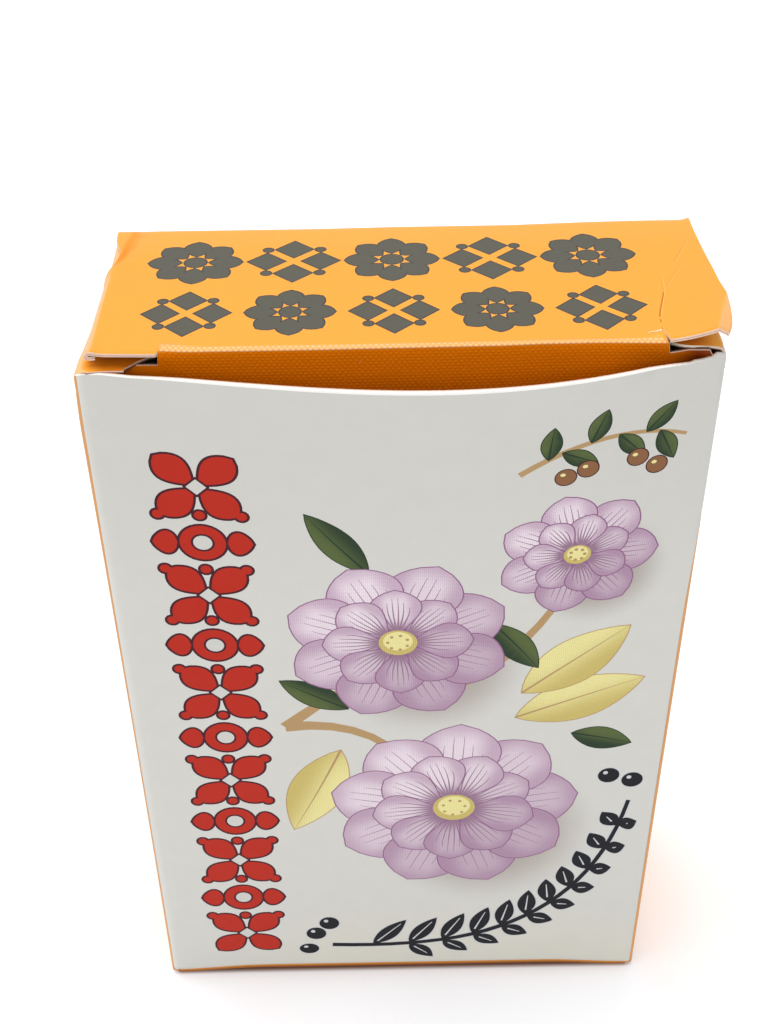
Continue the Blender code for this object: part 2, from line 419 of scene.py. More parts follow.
def sheet(
    name,
    outline,
    place,
    materials,
    ground,
    motifs=(),
    fill=None,
    spacing=1.0,
    joined=(),
    edge=PLAIN_EDGE,
    thick=BOARD,
):
    """A sheet of board. Its outer face carries the ground and the motifs, its cut edges are a little
    rounded, and where an edge is joined to another sheet it is cut straight. Materials are those of the
    printed face, the inner face and the cut edge."""
    outline = subdivided(anticlockwise(np.array(outline)), spacing)
    if fill is None:
        fill = grid(
            steps(outline.real.min(), outline.real.max(), spacing),
            steps(outline.imag.min(), outline.imag.max(), spacing),
        )
    flat, triangles, top = triangulate(outline, motifs, fill)
    outer, normals = surface(place, flat)
    inner = outer - thick * normals

    edges = boundary_edges(triangles)
    after = dict(edges)
    before = {b: a for a, b in edges}
    rim = list(after)
    row_of = {v: i for i, v in enumerate(rim)}
    out = np.cross(outer[[after[v] for v in rim]] - outer[[before[v] for v in rim]], normals[rim])
    out /= np.linalg.norm(out, axis=1)[:, None]
    at_join = np.array([near_any(flat[v], joined) for v in rim])
    out[at_join] = 0
    rows = [outer[rim] + out * bulge - normals[rim] * depth * thick for depth, bulge in EDGE_ROWS]

    count = len(flat)
    levels = [np.array(rim)]
    for k in range(len(rows)):
        levels.append(2 * count + k * len(rim) + np.arange(len(rim)))
    levels.append(count + np.array(rim))
    quads = []
    for a, b in edges:
        i, j = row_of[a], row_of[b]
        for upper, lower in zip(levels, levels[1:]):
            quads.append((upper[i], lower[i], lower[j], upper[j]))
    vertices = np.concatenate([outer, inner, *rows]) * MM
    faces = [*triangles.tolist(), *(triangles[:, ::-1] + count).tolist(), *quads]
    mesh = bpy.data.meshes.new(name)
    mesh.from_pydata(vertices.tolist(), [], faces)

    corner_points = flat[triangles.ravel()]
    inks = ground(corner_points)
    owner = np.repeat(top, 3)
    for k, (_, ink) in enumerate(motifs):
        here = owner == k
        if here.any():
            inks[here] = ink(corner_points[here])
    plain = np.zeros((len(corner_points), 4))
    strip_inks = screened(np.array(edge), 0.0)
    edge_inks = np.tile(np.repeat(strip_inks, 4, axis=0), (len(edges), 1))
    ink_layer = mesh.color_attributes.new("ink", "FLOAT_COLOR", "CORNER")
    ink_layer.data.foreach_set("color", np.concatenate([inks, plain, edge_inks]).ravel())

    flat_of = np.concatenate([flat, flat, *([flat[rim]] * len(rows))])
    corners = np.array([v for face in faces for v in face])
    uv = np.stack([flat_of[corners].real, flat_of[corners].imag], axis=1) * BLANK_UV
    mesh.uv_layers.new(name="blank").data.foreach_set("uv", uv.ravel())

    for material in materials:
        mesh.materials.append(material)
    slots = np.concatenate([np.zeros(len(triangles)), np.ones(len(triangles)), np.full(len(quads), 2)])
    mesh.polygons.foreach_set("material_index", slots.astype(np.int32))
    mesh.shade_smooth()
    mesh.set_sharp_from_angle(angle=math.radians(SHARP_DEG))
    mesh.update()
    item = bpy.data.objects.new(name, mesh)
    bpy.context.collection.objects.link(item)
    return item


def near_any(point, joined):
    """Whether a flat point lies on one of the joined stretches, each from start to end."""
    for start, end in joined:
        share = (point - start) / (end - start)
        if -0.001 <= share.real <= 1.001 and abs(share.imag) * abs(end - start) < 0.01:
            return True
    return False


# Materials


class Nodes:
    """Short calls for a material's node tree."""

    def __init__(self, name):
        self.material = bpy.data.materials.new(name)
        self.material.use_nodes = True
        self.tree = self.material.node_tree
        self.shader = self.tree.nodes["Principled BSDF"]

    def add(self, kind, inputs=None, **settings):
        node = self.tree.nodes.new(kind)
        for key, value in settings.items():
            setattr(node, key, value)
        self.feed(node, inputs or {})
        return node

    def feed(self, node, inputs):
        """Links or sets a node's inputs."""
        for key, value in inputs.items():
            if isinstance(value, bpy.types.NodeSocket):
                self.tree.links.new(value, node.inputs[key])
            else:
                node.inputs[key].default_value = value

    def shaded(self, inputs):
        """The material, with its shader's inputs fed."""
        self.feed(self.shader, inputs)
        return self.material

    def math(self, operation, *values):
        return self.add("ShaderNodeMath", dict(enumerate(values)), operation=operation).outputs[0]

    def times(self, product, *factors):
        for factor in factors:
            product = self.math("MULTIPLY", product, factor)
        return product

    def blank(self):
        """Flat coordinates of the blank in millimetres."""
        uv = self.add("ShaderNodeUVMap", uv_map="blank")
        inputs = {"Vector": uv.outputs[0], "Scale": (1 / BLANK_UV,) * 3}
        return self.add("ShaderNodeMapping", inputs).outputs[0]

    def noise(self, vector, scale, detail, roughness):
        inputs = {"Vector": vector, "Scale": scale, "Detail": detail, "Roughness": roughness}
        return self.add("ShaderNodeTexNoise", inputs).outputs[0]

    def mapped(self, value, low, high, new_low, new_high):
        inputs = {0: value, 1: low, 2: high, 3: new_low, 4: new_high}
        return self.add("ShaderNodeMapRange", inputs).outputs[0]

    def tint(self, colour, factor, blend="MULTIPLY", share=1.0):
        """Colour multiplied by, or mixed with, a factor socket or colour."""
        node = self.add("ShaderNodeMix", data_type="RGBA", blend_type=blend)
        self.feed(node, {0: share, 6: colour, 7: factor})
        return node.outputs[2]

    def bump(self, height, strength, distance, normal=None):
        inputs = {"Height": height, "Strength": strength, "Distance": distance}
        if normal is not None:
            inputs["Normal"] = normal
        return self.add("ShaderNodeBump", inputs).outputs[0]


HALFTONE_PITCH = 0.29
HALFTONE_DEPTH = 0.16


def embossed(nodes, flat, colour):
    """Presses rows of short dashes into the board between the slits, deep on the tuck flap's face and
    faint on the lid, darkens their hollows as painted shade, and pales them in a band along the
    crease, as wear with painted highlights. Returns the colour, the embossing's height and the share
    of the tuck flap's face."""
    parts = nodes.add("ShaderNodeSeparateXYZ", {0: flat}).outputs
    u, v = parts[0], parts[1]
    columns = nodes.math("COSINE", nodes.times(u, 2 * math.pi / EMBOSS_PITCH))
    rows = nodes.math("COSINE", nodes.times(v, math.pi / EMBOSS_ROW))
    right = nodes.mapped(u, SLIT_RIGHT - 0.4, SLIT_RIGHT - 0.2, 1.0, 0.0)
    left = nodes.mapped(u, SLIT_LEFT + 0.1, SLIT_LEFT + 0.3, 0.0, 1.0)
    between = nodes.times(right, left)
    ridges = nodes.mapped(nodes.times(rows, rows), 0.0, 1.0, -0.45, 0.45)
    dashes = nodes.times(nodes.math("ADD", nodes.times(rows, columns), ridges), between)
    face = nodes.mapped(v, -0.18, -0.06, 1.0, 0.0)
    depth = nodes.mapped(face, 0.0, 1.0, 0.02, 0.14)
    # Painted shade in the dashes' hollows
    hollow_shade = nodes.times(nodes.mapped(dashes, -0.6, 0.8, -0.85, 0.3), depth)
    colour = nodes.tint(colour, nodes.math("ADD", hollow_shade, 1.0))
    wider = nodes.mapped(u, SLIT_LEFT, SLIT_LEFT + 4, 0.42, 0.0)
    narrower = nodes.mapped(u, SLIT_RIGHT - 3, SLIT_RIGHT, 0.0, 0.18)
    past = nodes.math("SUBTRACT", nodes.math("ADD", v, narrower), wider)
    band = nodes.mapped(past, WORN_HIGHLIGHT_BAND - 0.06, WORN_HIGHLIGHT_BAND + 0.04, 1.0, 0.0)
    band = nodes.times(band, between, nodes.mapped(v, -0.16, -0.08, 0.0, 1.0))
    # The pale band along the crease: wear and painted highlight
    worn_highlight = nodes.times(nodes.mapped(dashes, -0.6, 1.1, 0.1, 0.6), band)
    colour = nodes.tint(colour, (*WORN_AND_HIGHLIGHT_ORANGE, 1), blend="MIX", share=worn_highlight)
    return colour, nodes.times(dashes, nodes.mapped(face, 0.0, 1.0, 0.15, 1.0)), face


def printed(name, roughness, gloss, fibre, emboss=False):
    """Coated board with ink. The ink layer's colour is the print, and its alpha is the halftone."""
    nodes = Nodes(name)
    ink = nodes.add("ShaderNodeVertexColor", layer_name="ink")
    flat = nodes.blank()
    turned = nodes.add("ShaderNodeMapping", {"Vector": flat, "Rotation": (0, 0, math.radians(45))})
    parts = nodes.add("ShaderNodeSeparateXYZ", {0: turned.outputs[0]}).outputs
    wave = 2 * math.pi / HALFTONE_PITCH
    rows = nodes.math("SINE", nodes.times(parts[0], wave))
    columns = nodes.math("SINE", nodes.times(parts[1], wave))
    screen = nodes.times(rows, columns, ink.outputs["Alpha"], HALFTONE_DEPTH)
    dots = nodes.math("ADD", screen, 1.0)
    mottle = nodes.mapped(nodes.noise(flat, 0.35, 4.0, 0.6), 0.3, 0.7, 0.985, 1.01)
    grain = nodes.mapped(nodes.noise(flat, 5.0, 3.0, 0.7), 0.25, 0.75, 0.975, 1.02)
    colour = nodes.tint(ink.outputs["Color"], dots)
    colour = nodes.tint(colour, mottle)
    colour = nodes.tint(colour, grain)
    normal = nodes.bump(nodes.noise(flat, 0.12, 2.0, 0.5), 0.35, 0.0004)
    if emboss:
        colour, height, face = embossed(nodes, flat, colour)
        normal = nodes.bump(height, 1.0, 0.00002, normal)
        gloss = nodes.mapped(face, 0.0, 1.0, gloss, 0.12)
    patch = nodes.mapped(nodes.noise(flat, 0.8, 3.0, 0.6), 0.3, 0.7, roughness - 0.04, roughness + 0.06)
    fine = nodes.bump(nodes.noise(flat, 9.0, 3.0, 0.7), fibre, 0.00002, normal)
    return nodes.shaded(
        {"Base Color": colour, "Roughness": patch, "Specular IOR Level": gloss, "Normal": fine}
    )


def inner_board():
    """The uncoated inner face: pale grey-brown stock with fibres."""
    nodes = Nodes("inner_board")
    flat = nodes.blank()
    stretched = nodes.add("ShaderNodeMapping", {"Vector": flat, "Scale": (1.0, 4.0, 1.0)}).outputs[0]
    fibres = nodes.noise(stretched, 2.4, 6.0, 0.75)
    ramp = nodes.add("ShaderNodeValToRGB", {0: fibres})
    ramp.color_ramp.elements[0].position = 0.32
    ramp.color_ramp.elements[0].color = (*linear((176, 164, 148)), 1)
    ramp.color_ramp.elements[1].position = 0.66
    ramp.color_ramp.elements[1].color = (*linear((212, 202, 188)), 1)
    specks = nodes.mapped(nodes.noise(flat, 7.0, 2.0, 0.6), 0.70, 0.78, 1.0, 0.72)
    colour = nodes.tint(ramp.outputs[0], specks)
    normal = nodes.bump(fibres, 0.5, 0.00006)
    return nodes.shaded(
        {"Base Color": colour, "Roughness": 0.9, "Specular IOR Level": 0.2, "Normal": normal}
    )


def cut_edge():
    """The cut edge: pressed plies with loose fibres, tinted by the ink layer."""
    nodes = Nodes("cut_edge")
    ink = nodes.add("ShaderNodeVertexColor", layer_name="ink")
    flat = nodes.blank()
    fibres = nodes.noise(flat, 6.0, 5.0, 0.75)
    colour = nodes.tint(ink.outputs["Color"], nodes.mapped(fibres, 0.25, 0.75, 0.84, 1.08))
    normal = nodes.bump(fibres, 0.6, 0.00005)
    return nodes.shaded(
        {"Base Color": colour, "Roughness": 0.85, "Specular IOR Level": 0.25, "Normal": normal}
    )


COATED = printed("coated_print", 0.36, 0.12, 0.25)
LID_PRINT = printed("lid_print", 0.42, 0.4, 0.35, emboss=True)
MATTE_PRINT = printed("matte_print", 0.5, 0.1, 0.3)
INSIDE = inner_board()
EDGE = cut_edge()


# The walls


def bow_at(across, height):
    """How far the front panel stands forward; across runs from -1 to 1 and height from 0 to 1."""
    crown = (1 - np.clip(across, -1, 1) ** 2) ** BOW_SHARPNESS
    return BOW * crown * (1 + BOW_LEAN * across) * np.clip(height, 0, 1) ** BOW_FADE


def settled(x, y, z):
    """The walls' small set: the top leans, the left wall is drawn in behind its front corner, the right
    wall bulges a little, and the front's foot bends up off the table."""
    height = np.clip(z / TOP, 0, 1.05) ** 2
    forward = (REAR - y) / DEPTH
    skew = LEFT_SKEW + (RIGHT_SKEW - LEFT_SKEW) * (x + SIDE) / (2 * SIDE)
    left = smooth(0, -SIDE, x)
    drawn = LEFT_PULL * smooth(0.97, 0.1, forward) * left
    bulge = RIGHT_BULGE * smooth(0.1, 0.7, forward) * smooth(1.0, 0.85, forward) * smooth(0, SIDE, x)
    at_front = smooth(0.6, 1.0, forward)
    moved = (drawn + bulge + CORNER_FLARE * at_front * x / SIDE) * height
    moved -= LEFT_SPREAD * at_front * left * smooth(TOP - 1.0, TOP - 6.5, z)
    raised = FOOT_RISE * smooth(0.3, 1.0, forward) * smooth(8.0, 2.0, z)
    raised *= smooth(1.0, 0.6, np.abs(x) / SIDE)
    return np.stack([x + moved, y + forward * skew * height, z + raised], axis=-1)


SEAM_WIDTH = 11.0
SEAM_X = SIDE - BOARD - 0.03
WALLS, WALL_BENDS, WALL_END = folded_path(
    [
        (SEAM_X + 1j * (REAR - SEAM_WIDTH), 0),
        (SEAM_X + 1j * REAR, 0.5),
        (-SIDE + 1j * REAR, CREASE_RADIUS),
        (-SIDE - 1j * REAR, CREASE_RADIUS),
        (SIDE - 1j * REAR, CREASE_RADIUS),
        (SIDE + 1j * (REAR - 0.05), 0),
    ]
)
REAR_RIGHT, REAR_LEFT, FRONT_LEFT, FRONT_RIGHT = WALL_BENDS
FRONT_MIDDLE = (FRONT_LEFT + FRONT_RIGHT) / 2


def wall_place(points):
    """Place function of the walls. Flat u runs round them from the seam, and v is the height."""
    plan = along(WALLS, points.real)
    z = points.imag
    placed = settled(plan.real, plan.imag, z)
    front = smooth(-REAR + 1.2, -REAR, plan.imag)
    placed[:, 1] -= front * bow_at(plan.real / SIDE, z / TOP)
    return placed


# Small dents in the front panel's top edge, from right to left, as (place across, dip)
TOP_DIPS = (
    (28.5, 0.3),
    (27.5, 0.35),
    (26.9, 0.3),
    (26.5, 0.42),
    (25.0, 0.23),
    (22.5, 0),
    (3.9, 0),
    (3.6, 0.05),
    (3.3, 0),
    (-20.0, 0),
    (-24.6, 0.14),
    (-25.7, 0.09),
    (-27.6, 0),
)

CORNER = 0.9
DUST_FRONT = 0.1
BACK_JOIN = TOP - 1.0
DUST_JOIN = TOP - 2.1
FRONT_FOOT = 1.3
REAR_FOOT = LAYER + 1.6
SIDE_FOOT = 2 * LAYER + 1.6


def sleeve_outline():
    """The walls laid flat, with steps where the flaps' own sheets take over. Returns the outline and
    the joined stretches."""
    seam = [0 + 6j, REAR_RIGHT - 0.4 + 3.4j, REAR_RIGHT - 0.4 + 1.4j]
    foot = [
        (REAR_RIGHT + CORNER, REAR_LEFT - CORNER, REAR_FOOT, 1.0),
        (REAR_LEFT + CORNER, FRONT_LEFT - CORNER, SIDE_FOOT, 0.6),
        (FRONT_LEFT + CORNER, FRONT_RIGHT - CORNER, FRONT_FOOT, 0.6),
        (FRONT_RIGHT + CORNER, WALL_END - CORNER, SIDE_FOOT, 1.4),
    ]
    lower, joined = list(seam), []
    low = 1.4
    for start, end, height, after in foot:
        lower += [start + 1j * low, start + 1j * height, end + 1j * height, end + 1j * after]
        joined.append((start + 1j * height, end + 1j * height))
        low = after
    lower.append(WALL_END + 1.4j)
    head = [
        (FRONT_RIGHT + DUST_FRONT, WALL_END - CORNER, DUST_JOIN),
        (REAR_LEFT + CORNER, FRONT_LEFT - DUST_FRONT, DUST_JOIN),
        (REAR_RIGHT + CORNER, REAR_LEFT - CORNER, BACK_JOIN),
    ]
    top = TOP - 0.5
    upper = [WALL_END + 1j * top]
    for k, (start, end, height) in enumerate(head):
        upper += [end + 1j * top, end + 1j * height, start + 1j * height, start + 1j * top]
        joined.append((start + 1j * height, end + 1j * height))
        if k == 0:
            upper += [FRONT_RIGHT - 0.1 + 1j * (TOP - 0.2), FRONT_RIGHT - 0.8 + 1j * TOP]
            upper += [FRONT_MIDDLE + x + 1j * (TOP - dip) for x, dip in TOP_DIPS]
            upper += [FRONT_LEFT + 0.8 + 1j * (TOP - 0.1), FRONT_LEFT + 0.1 + 1j * (TOP - 0.28)]
    upper += [REAR_RIGHT - 0.4 + 1j * top, REAR_RIGHT - 0.4 + 1j * (top - 2), 0 + 1j * (top - 5)]
    return lower + upper, joined


def wall_fill():
    """Points close together across the creases and over the front, and further apart elsewhere."""
    crease = np.arange(-0.7, 0.71, 0.1)
    us = [steps(0.5, REAR_RIGHT - 1, 2.5), steps(REAR_RIGHT + 1, REAR_LEFT - 1, 2.0)]
    us += [steps(REAR_LEFT + 1, FRONT_LEFT - 1, 2.0), steps(FRONT_LEFT + 1, FRONT_RIGHT - 1, 1.2)]
    us += [steps(FRONT_RIGHT + 1, WALL_END - 0.3, 2.0)]
    us += [bend + crease for bend in WALL_BENDS]
    zs = np.concatenate([steps(0.2, 1.1, 0.3), steps(1.6, TOP - 0.1, 1.3)])
    coarse = grid(np.sort(np.concatenate(us)), zs)
    fine = grid(FRONT_MIDDLE + np.arange(-13.0, 28.0, 0.55), np.arange(4.0, 84.0, 0.55) + 0.2)
    return np.concatenate([coarse, fine])


# Where the print's white front ends: at the creases, and at the right a little past it near the top
WHITE_LEFT = FRONT_LEFT + 0.22
WHITE_RIGHT_LOW = FRONT_RIGHT - 0.34
WHITE_RIGHT_HIGH = FRONT_RIGHT + 2.6
WHITE_FOOT = 1.0


def white_field():
    """The white part of the print, which runs round the right crease near the top."""
    return np.array(
        [
            complex(WHITE_LEFT + 0.2, WHITE_FOOT),
            complex(WHITE_RIGHT_LOW - 0.2, WHITE_FOOT),
            complex(WHITE_RIGHT_LOW, WHITE_FOOT + 0.2),
            complex(WHITE_RIGHT_LOW, 62),
            complex(FRONT_RIGHT + 0.1, 76),
            complex(FRONT_RIGHT + 1.0, 80),
            complex(WHITE_RIGHT_HIGH, 86),
            complex(WHITE_RIGHT_HIGH, TOP + 1),
            complex(WHITE_LEFT + 0.06, TOP + 1),
            complex(WHITE_LEFT, 70),
            complex(WHITE_LEFT, WHITE_FOOT + 0.5),
        ]
    )


def top_edge_highlight():
    """The front's top edge, with a painted highlight along it, widest in the middle of the bow."""
    return blade(FRONT_MIDDLE - 28 + 1j * TOP, FRONT_MIDDLE + 28 + 1j * TOP, 0.5, count=25)


def wall_ground(points):
    """Orange, with painted shade and reflection along the front creases, and painted shade at their foot.
    """
    u, z = points.real, points.imag
    near_crease = np.minimum(np.abs(u - FRONT_LEFT), np.abs(u - FRONT_RIGHT))
    # Painted shade and reflection along the front creases, and painted shade at their foot
    colour = mix(ORANGE, CREASE_SHADE_ORANGE, 0.85 * smooth(1.1, 0.3, near_crease))
    colour = mix(colour, SHADED_ORANGE, 0.8 * smooth(1.3, 0.7, z) * smooth(2.0, 1.0, near_crease))
    return screened(colour, ORANGE_DOTS)


def front_white(points):
    """White coating, yellowed towards the foot, with a painted highlight at the left crease, lighter
    below the top, and with the print's soft shadows."""
    x, z = points.real - FRONT_MIDDLE, points.imag
    cream = 0.5 * smooth(17, 5, z + 0.004 * (x - 4) ** 2) * smooth(-24, -8, x)
    colour = mix(WHITE_COAT, CREAM, cream)
    # A painted highlight along the left crease, and a little lighter low down
    colour *= 1 + (0.22 * smooth(-28.3, -30.0, x) ** 2 + 0.05 * smooth(88, 60, z))[:, None]
    shade = np.zeros(len(points))
    for place, reach in SHADOWS:
        distance = np.abs((points - FRONT_MIDDLE - place) / reach)
        shade = np.maximum(shade, smooth(1.0, 0.45, distance))
    colour = mix(colour, SOFT_SHADOW, 0.75 * shade)
    return screened(colour, 0.8 * shade)


# The front's print, in millimetres across from the middle and up from the foot: a band of leaf crosses
# and discs, three streaked blooms with their leaves, a dark spray and a small sprig with berries
BAND_X = -19.7
BAND_FOOT = 8.6
BAND_PITCH = 7.35
BAND_COUNT = 11

# Each bloom's middle, reach, petals in a ring and turn in degrees, and the soft shadow beside it
BLOOMS = ((6.0 + 32.5j, 14.5, 9, 8.0), (-0.5 + 60.5j, 12.0, 8, 25.0), (17.5 + 72.5j, 8.2, 7, 0.0))
SHADOWS = [(place + reach * (0.25 - 0.3j), reach * 0.98) for place, reach, petals, turn in BLOOMS]

# The stems as (start, bend, end), and the leaves as (base, tip)
STEMS = (
    (-13 + 47j, -2 + 49j, 3 + 36j),
    (-13 + 47j, -8 + 52j, -3 + 56j),
    (3 + 52j, 12 + 56j, 17 + 68j),
)
PALE_LEAVES = ((12.5 + 48j, 26.3 + 53.5j), (13.0 + 52j, 24.0 + 61.5j), (-7.0 + 43j, -12.8 + 29j))
GREEN_LEAVES = (
    (-6.0 + 50j, -13.2 + 54.5j),
    (9.5 + 63j, 14.5 + 56j),
    (-3.5 + 71j, -9.5 + 79j),
    (19 + 45j, 25.8 + 43j),
)
DARK_BERRIES = (-11 + 8.2j, -9.3 + 10.3j, -12 + 4.6j, 23.8 + 37.5j, 26.6 + 36.6j)
BROWN_BERRIES = (15.5 + 83.2j, 17.6 + 84.0j, 22.4 + 84.6j, 24.4 + 83.3j)


def red_band():
    """A column of leaf crosses and discs, with dots between them."""
    shapes, hearts = [], []
    for k in range(BAND_COUNT):
        middle = BAND_X + 1j * (BAND_FOOT + k * BAND_PITCH)
        if k % 2 == 0:
            shapes += [blade(middle + 0.5 * d, middle + 5.3 * d, 3.3, 1.25, 0.7) for d in rays(4, 45)]
            hearts.append(lozenge(middle, 1.0, 1.0))
        else:
            shapes.append(ellipse(middle, 2.3, 2.3))
            shapes += [blade(middle + 2.5 * d, middle + 5.0 * d, 3.0, 0.8, 0.7) for d in (-1, 1)]
            hearts.append(ellipse(middle, 0.95, 0.95))
        if k < BAND_COUNT - 1:
            shapes += [ellipse(middle + x + 3.68j, 0.55, 0.55, count=14) for x in (-4.1, 0, 4.1)]
    found = rimmed(shapes, solid(RED_INK), solid(RED_RIM), 0.27)
    return found + rimmed(hearts, solid(WHITE_COAT), solid(RED_RIM), 0.24)


def petal_ink(base, tip, shade):
    """A petal's ink: plum at the base, pale along the middle, mauve towards the rim, and darker by
    shade, from 0 to 1."""

    def ink(points):
        flat = (points - base) / (tip - base)
        side = np.abs(flat.imag) * 3.2
        colour = mix(PLUM, PALE_LILAC, smooth(0.05, 0.42, flat.real))
        colour = mix(colour, MAUVE, smooth(0.3, 1.0, side) * 0.8)
        colour = mix(colour, MAUVE, smooth(0.75, 1.0, flat.real) * 0.7)
        colour = mix(colour, PLUM, np.full(len(points), 0.55 * shade))
        return screened(colour, 1.0)

    return ink


def bloom(middle, reach, petals, turn):
    """Two rings of streaked petals round a pale heart."""
    found = []
    for size, width, offset in ((1.0, 0.66, 0.0), (0.66, 0.44, 180 / petals)):
        for heading in rays(petals, turn + offset):
            base, tip = middle + 0.1 * reach * heading, middle + size * reach * heading
            shape = blade(base, tip, width * reach, 1.5, 0.7, 17)
            shade = 0.5 - 0.5 * (heading * np.conj(np.exp(2.2j))).real
            found.append((grown(shape, 0.14), solid(PLUM, 0.7)))
            found.append((shape, petal_ink(base, tip, shade)))
            for lean in (-0.26, -0.15, -0.05, 0.06, 0.16, 0.25):
                start = base + (tip - base) * complex(0.12, 0.2 * lean)
                bend = base + (tip - base) * complex(0.5, 0.95 * lean)
                end = base + (tip - base) * complex(0.9 - 1.1 * abs(lean), 0.8 * lean)
                found.append((stroke(curve(start, bend, end), 0.2, 0.05), solid(VEIN, 0.8)))
    found.append((ellipse(middle, 0.17 * reach, 0.16 * reach), solid(STRAW, 0.8)))
    found.append((ellipse(middle + 0.02j * reach, 0.13 * reach, 0.12 * reach), solid(PALE_YELLOW, 0.8)))
    for heading in rays(7, turn):
        found.append((ellipse(middle + 0.09 * reach * heading, 0.2, 0.2, count=8), solid(TAN)))
    return found


def leaf_ink(base, tip, dark, light):
    """A leaf's ink, lighter on one side of its vein."""

    def ink(points):
        flat = (points - base) / (tip - base)
        share = smooth(-0.16, 0.12, flat.imag) * smooth(-0.3, 0.35, flat.real)
        return screened(mix(dark, light, share), 0.9)

    return ink


def leaf(base, tip, width, dark, light, vein):
    """A leaf with a thin rim and a vein of one colour."""
    shape = blade(base, tip, width, 0.95, 0.85, 17)
    along_vein = stroke(curve(base, (base + tip) / 2 + 0.02j * (tip - base), tip), 0.3, 0.04)
    found = [(grown(shape, 0.12), solid(vein, 0.6)), (shape, leaf_ink(base, tip, dark, light))]
    return found + [(along_vein, solid(vein, 0.6))]


def bloom_leaves():
    """Stems, pale yellow leaves and green ones behind the blooms."""
    found = []
    for start, bend, end in STEMS:
        found.append((stroke(curve(start, bend, end), 1.5, 0.7), solid(TAN, 0.9)))
    for base, tip in PALE_LEAVES:
        found += leaf(base, tip, 6.4, STRAW, PALE_YELLOW, TAN)
    for base, tip in GREEN_LEAVES:
        found += leaf(base, tip, 3.4, DARK_GREEN, OLIVE, DARK_GREEN)
    return found


def dark_spray():
    """A bent stem with dark leaves, white-veined, and berries with a white glint."""
    stem = curve(-9 + 5.5j, 22 + 3j, 26.5 + 33j, 25)
    shapes = [stroke(stem, 0.9, 0.5)]
    veins = []
    for k in range(2, 24, 2):
        heading = heading_from(stem[k - 1], stem[k])
        for side in (-1, 1):
            out = heading * np.exp(side * 0.9j)
            length = (6.4 if side > 0 else 4.6) * (1.15 - 0.028 * k)
            tip = stem[k] + length * out
            if tip.real > 28.3 or tip.imag < 1.8:
                continue
            shapes.append(blade(stem[k] + 0.3 * out, tip, 2.3, 0.9, 0.9))
            veins.append(stroke([stem[k] + 1.2 * out, tip - 1.1 * out], 0.22, 0.1))
    shapes += [ellipse(place, 1.25, 1.25) for place in DARK_BERRIES]
    glints = [ellipse(place - 0.4 + 0.45j, 0.3, 0.3, count=8) for place in DARK_BERRIES]
    found = rimmed(shapes, solid(BLACK_INK), solid(GLINT), 0.16)
    return found + [(shape, solid(GLINT)) for shape in veins + glints]


def berry_sprig():
    """A small green sprig with brown berries."""
    stem = curve(11 + 84j, 19 + 90j, 27 + 86.5j, 13)
    found = [(stroke(stem, 0.7, 0.4), solid(TAN, 0.5))]
    for k, side in ((2, 1), (3, -1), (5, 1), (7, -1), (9, 1), (10, -1)):
        heading = heading_from(stem[k - 1], stem[k])
        tip = stem[k] + 3.9 * heading * np.exp(side * 0.95j)
        found += leaf(stem[k], tip, 1.9, DARK_GREEN, OLIVE, DARK_GREEN)
    for place in BROWN_BERRIES:
        found += rimmed([ellipse(place, 1.0, 1.0, count=18)], solid(BROWN, 0.6), solid(RED_RIM), 0.12)
        found.append((ellipse(place - 0.3 + 0.35j, 0.28, 0.22, count=8), solid(PALE_YELLOW)))
    return found


def front_motifs():
    found = red_band() + bloom_leaves()
    for middle, reach, petals, turn in BLOOMS:
        found += bloom(middle, reach, petals, turn)
    found += dark_spray() + berry_sprig()
    return [(points + FRONT_MIDDLE, shifted(ink)) for points, ink in found]


def shifted(ink):
    return lambda points: ink(points - FRONT_MIDDLE)


def make_sleeve():
    outline, joined = sleeve_outline()
    item = sheet(
        "sleeve_board",
        outline,
        wall_place,
        (COATED, INSIDE, EDGE),
        wall_ground,
        # The top edge's painted highlight is one of the motifs
        motifs=[(white_field(), front_white), (top_edge_highlight(), solid(EDGE_WHITE))] + front_motifs(),
        fill=wall_fill(),
        joined=joined,
        edge=(EDGE_WHITE, EDGE_WHITE, EDGE_WHITE, EDGE_PALE, EDGE_PALE),
    )
    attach(item, "carton")
    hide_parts("sleeve")


# The lid and the tuck flap

LID_BACK = complex(LID_CREASE.y, LID_CREASE.z)
LID_HEADING = heading_from(complex(TUCK_CREASE.y, TUCK_CREASE.z), LID_BACK)
LID_FRONT = complex(TUCK_CREASE.y, TUCK_CREASE.z) - TUCK_FORWARD * LID_HEADING
LID_LENGTH = abs(LID_BACK - LID_FRONT)
LID_START = 3.0
LID_PATH, _, LID_PATH_END = folded_path(
    [
        (LID_FRONT - LID_START * LID_HEADING, 0),
        (LID_BACK, 0.75),
        (complex(REAR, BACK_JOIN), 0),
    ]
)
LID_V_END = LID_PATH_END - LID_START
LID_EDGE_LEFT = -29.4
LID_EDGE_RIGHT = LID_RIGHT - 0.1
CORNER_TIP = complex(LID_EDGE_RIGHT - 0.2, LID_LENGTH)

# How far the right front corner is bent up, where across the lid that starts and is full, and how
# sharply it sets in
LIFT = 1.85
LIFT_START = 12.0
LIFT_FULL = 29.0
LIFT_POWER = 3.9

# The lines along which the lid's sides are rolled down. What is rolled lies right of a line's heading
LEFT_BEND_START = complex(-28.42, 15)
LEFT_BEND_END = complex(-28.7, -1.5)
FOLD_START = complex(28.4, -1.5)
FOLD_END = complex(30.75, 6.3)

# The rear left corner's fold, and the left edge's pinch beside it
DENT = curve(complex(-26.6, 25.2), complex(-27.2, 20.7), complex(-29.8, 16.4), 30)
DENT_DEPTH = 0.34
DENT_WIDTH = 0.55
PINCH = 0.75
PINCH_V = 20.0
PINCH_WIDTH = 2.0

# How far the left roll and the rear right corner's tip stand up
ROLL_LIFT = 0.17
TIP_RISE = 0.3
TIP_WIDTH = 0.6


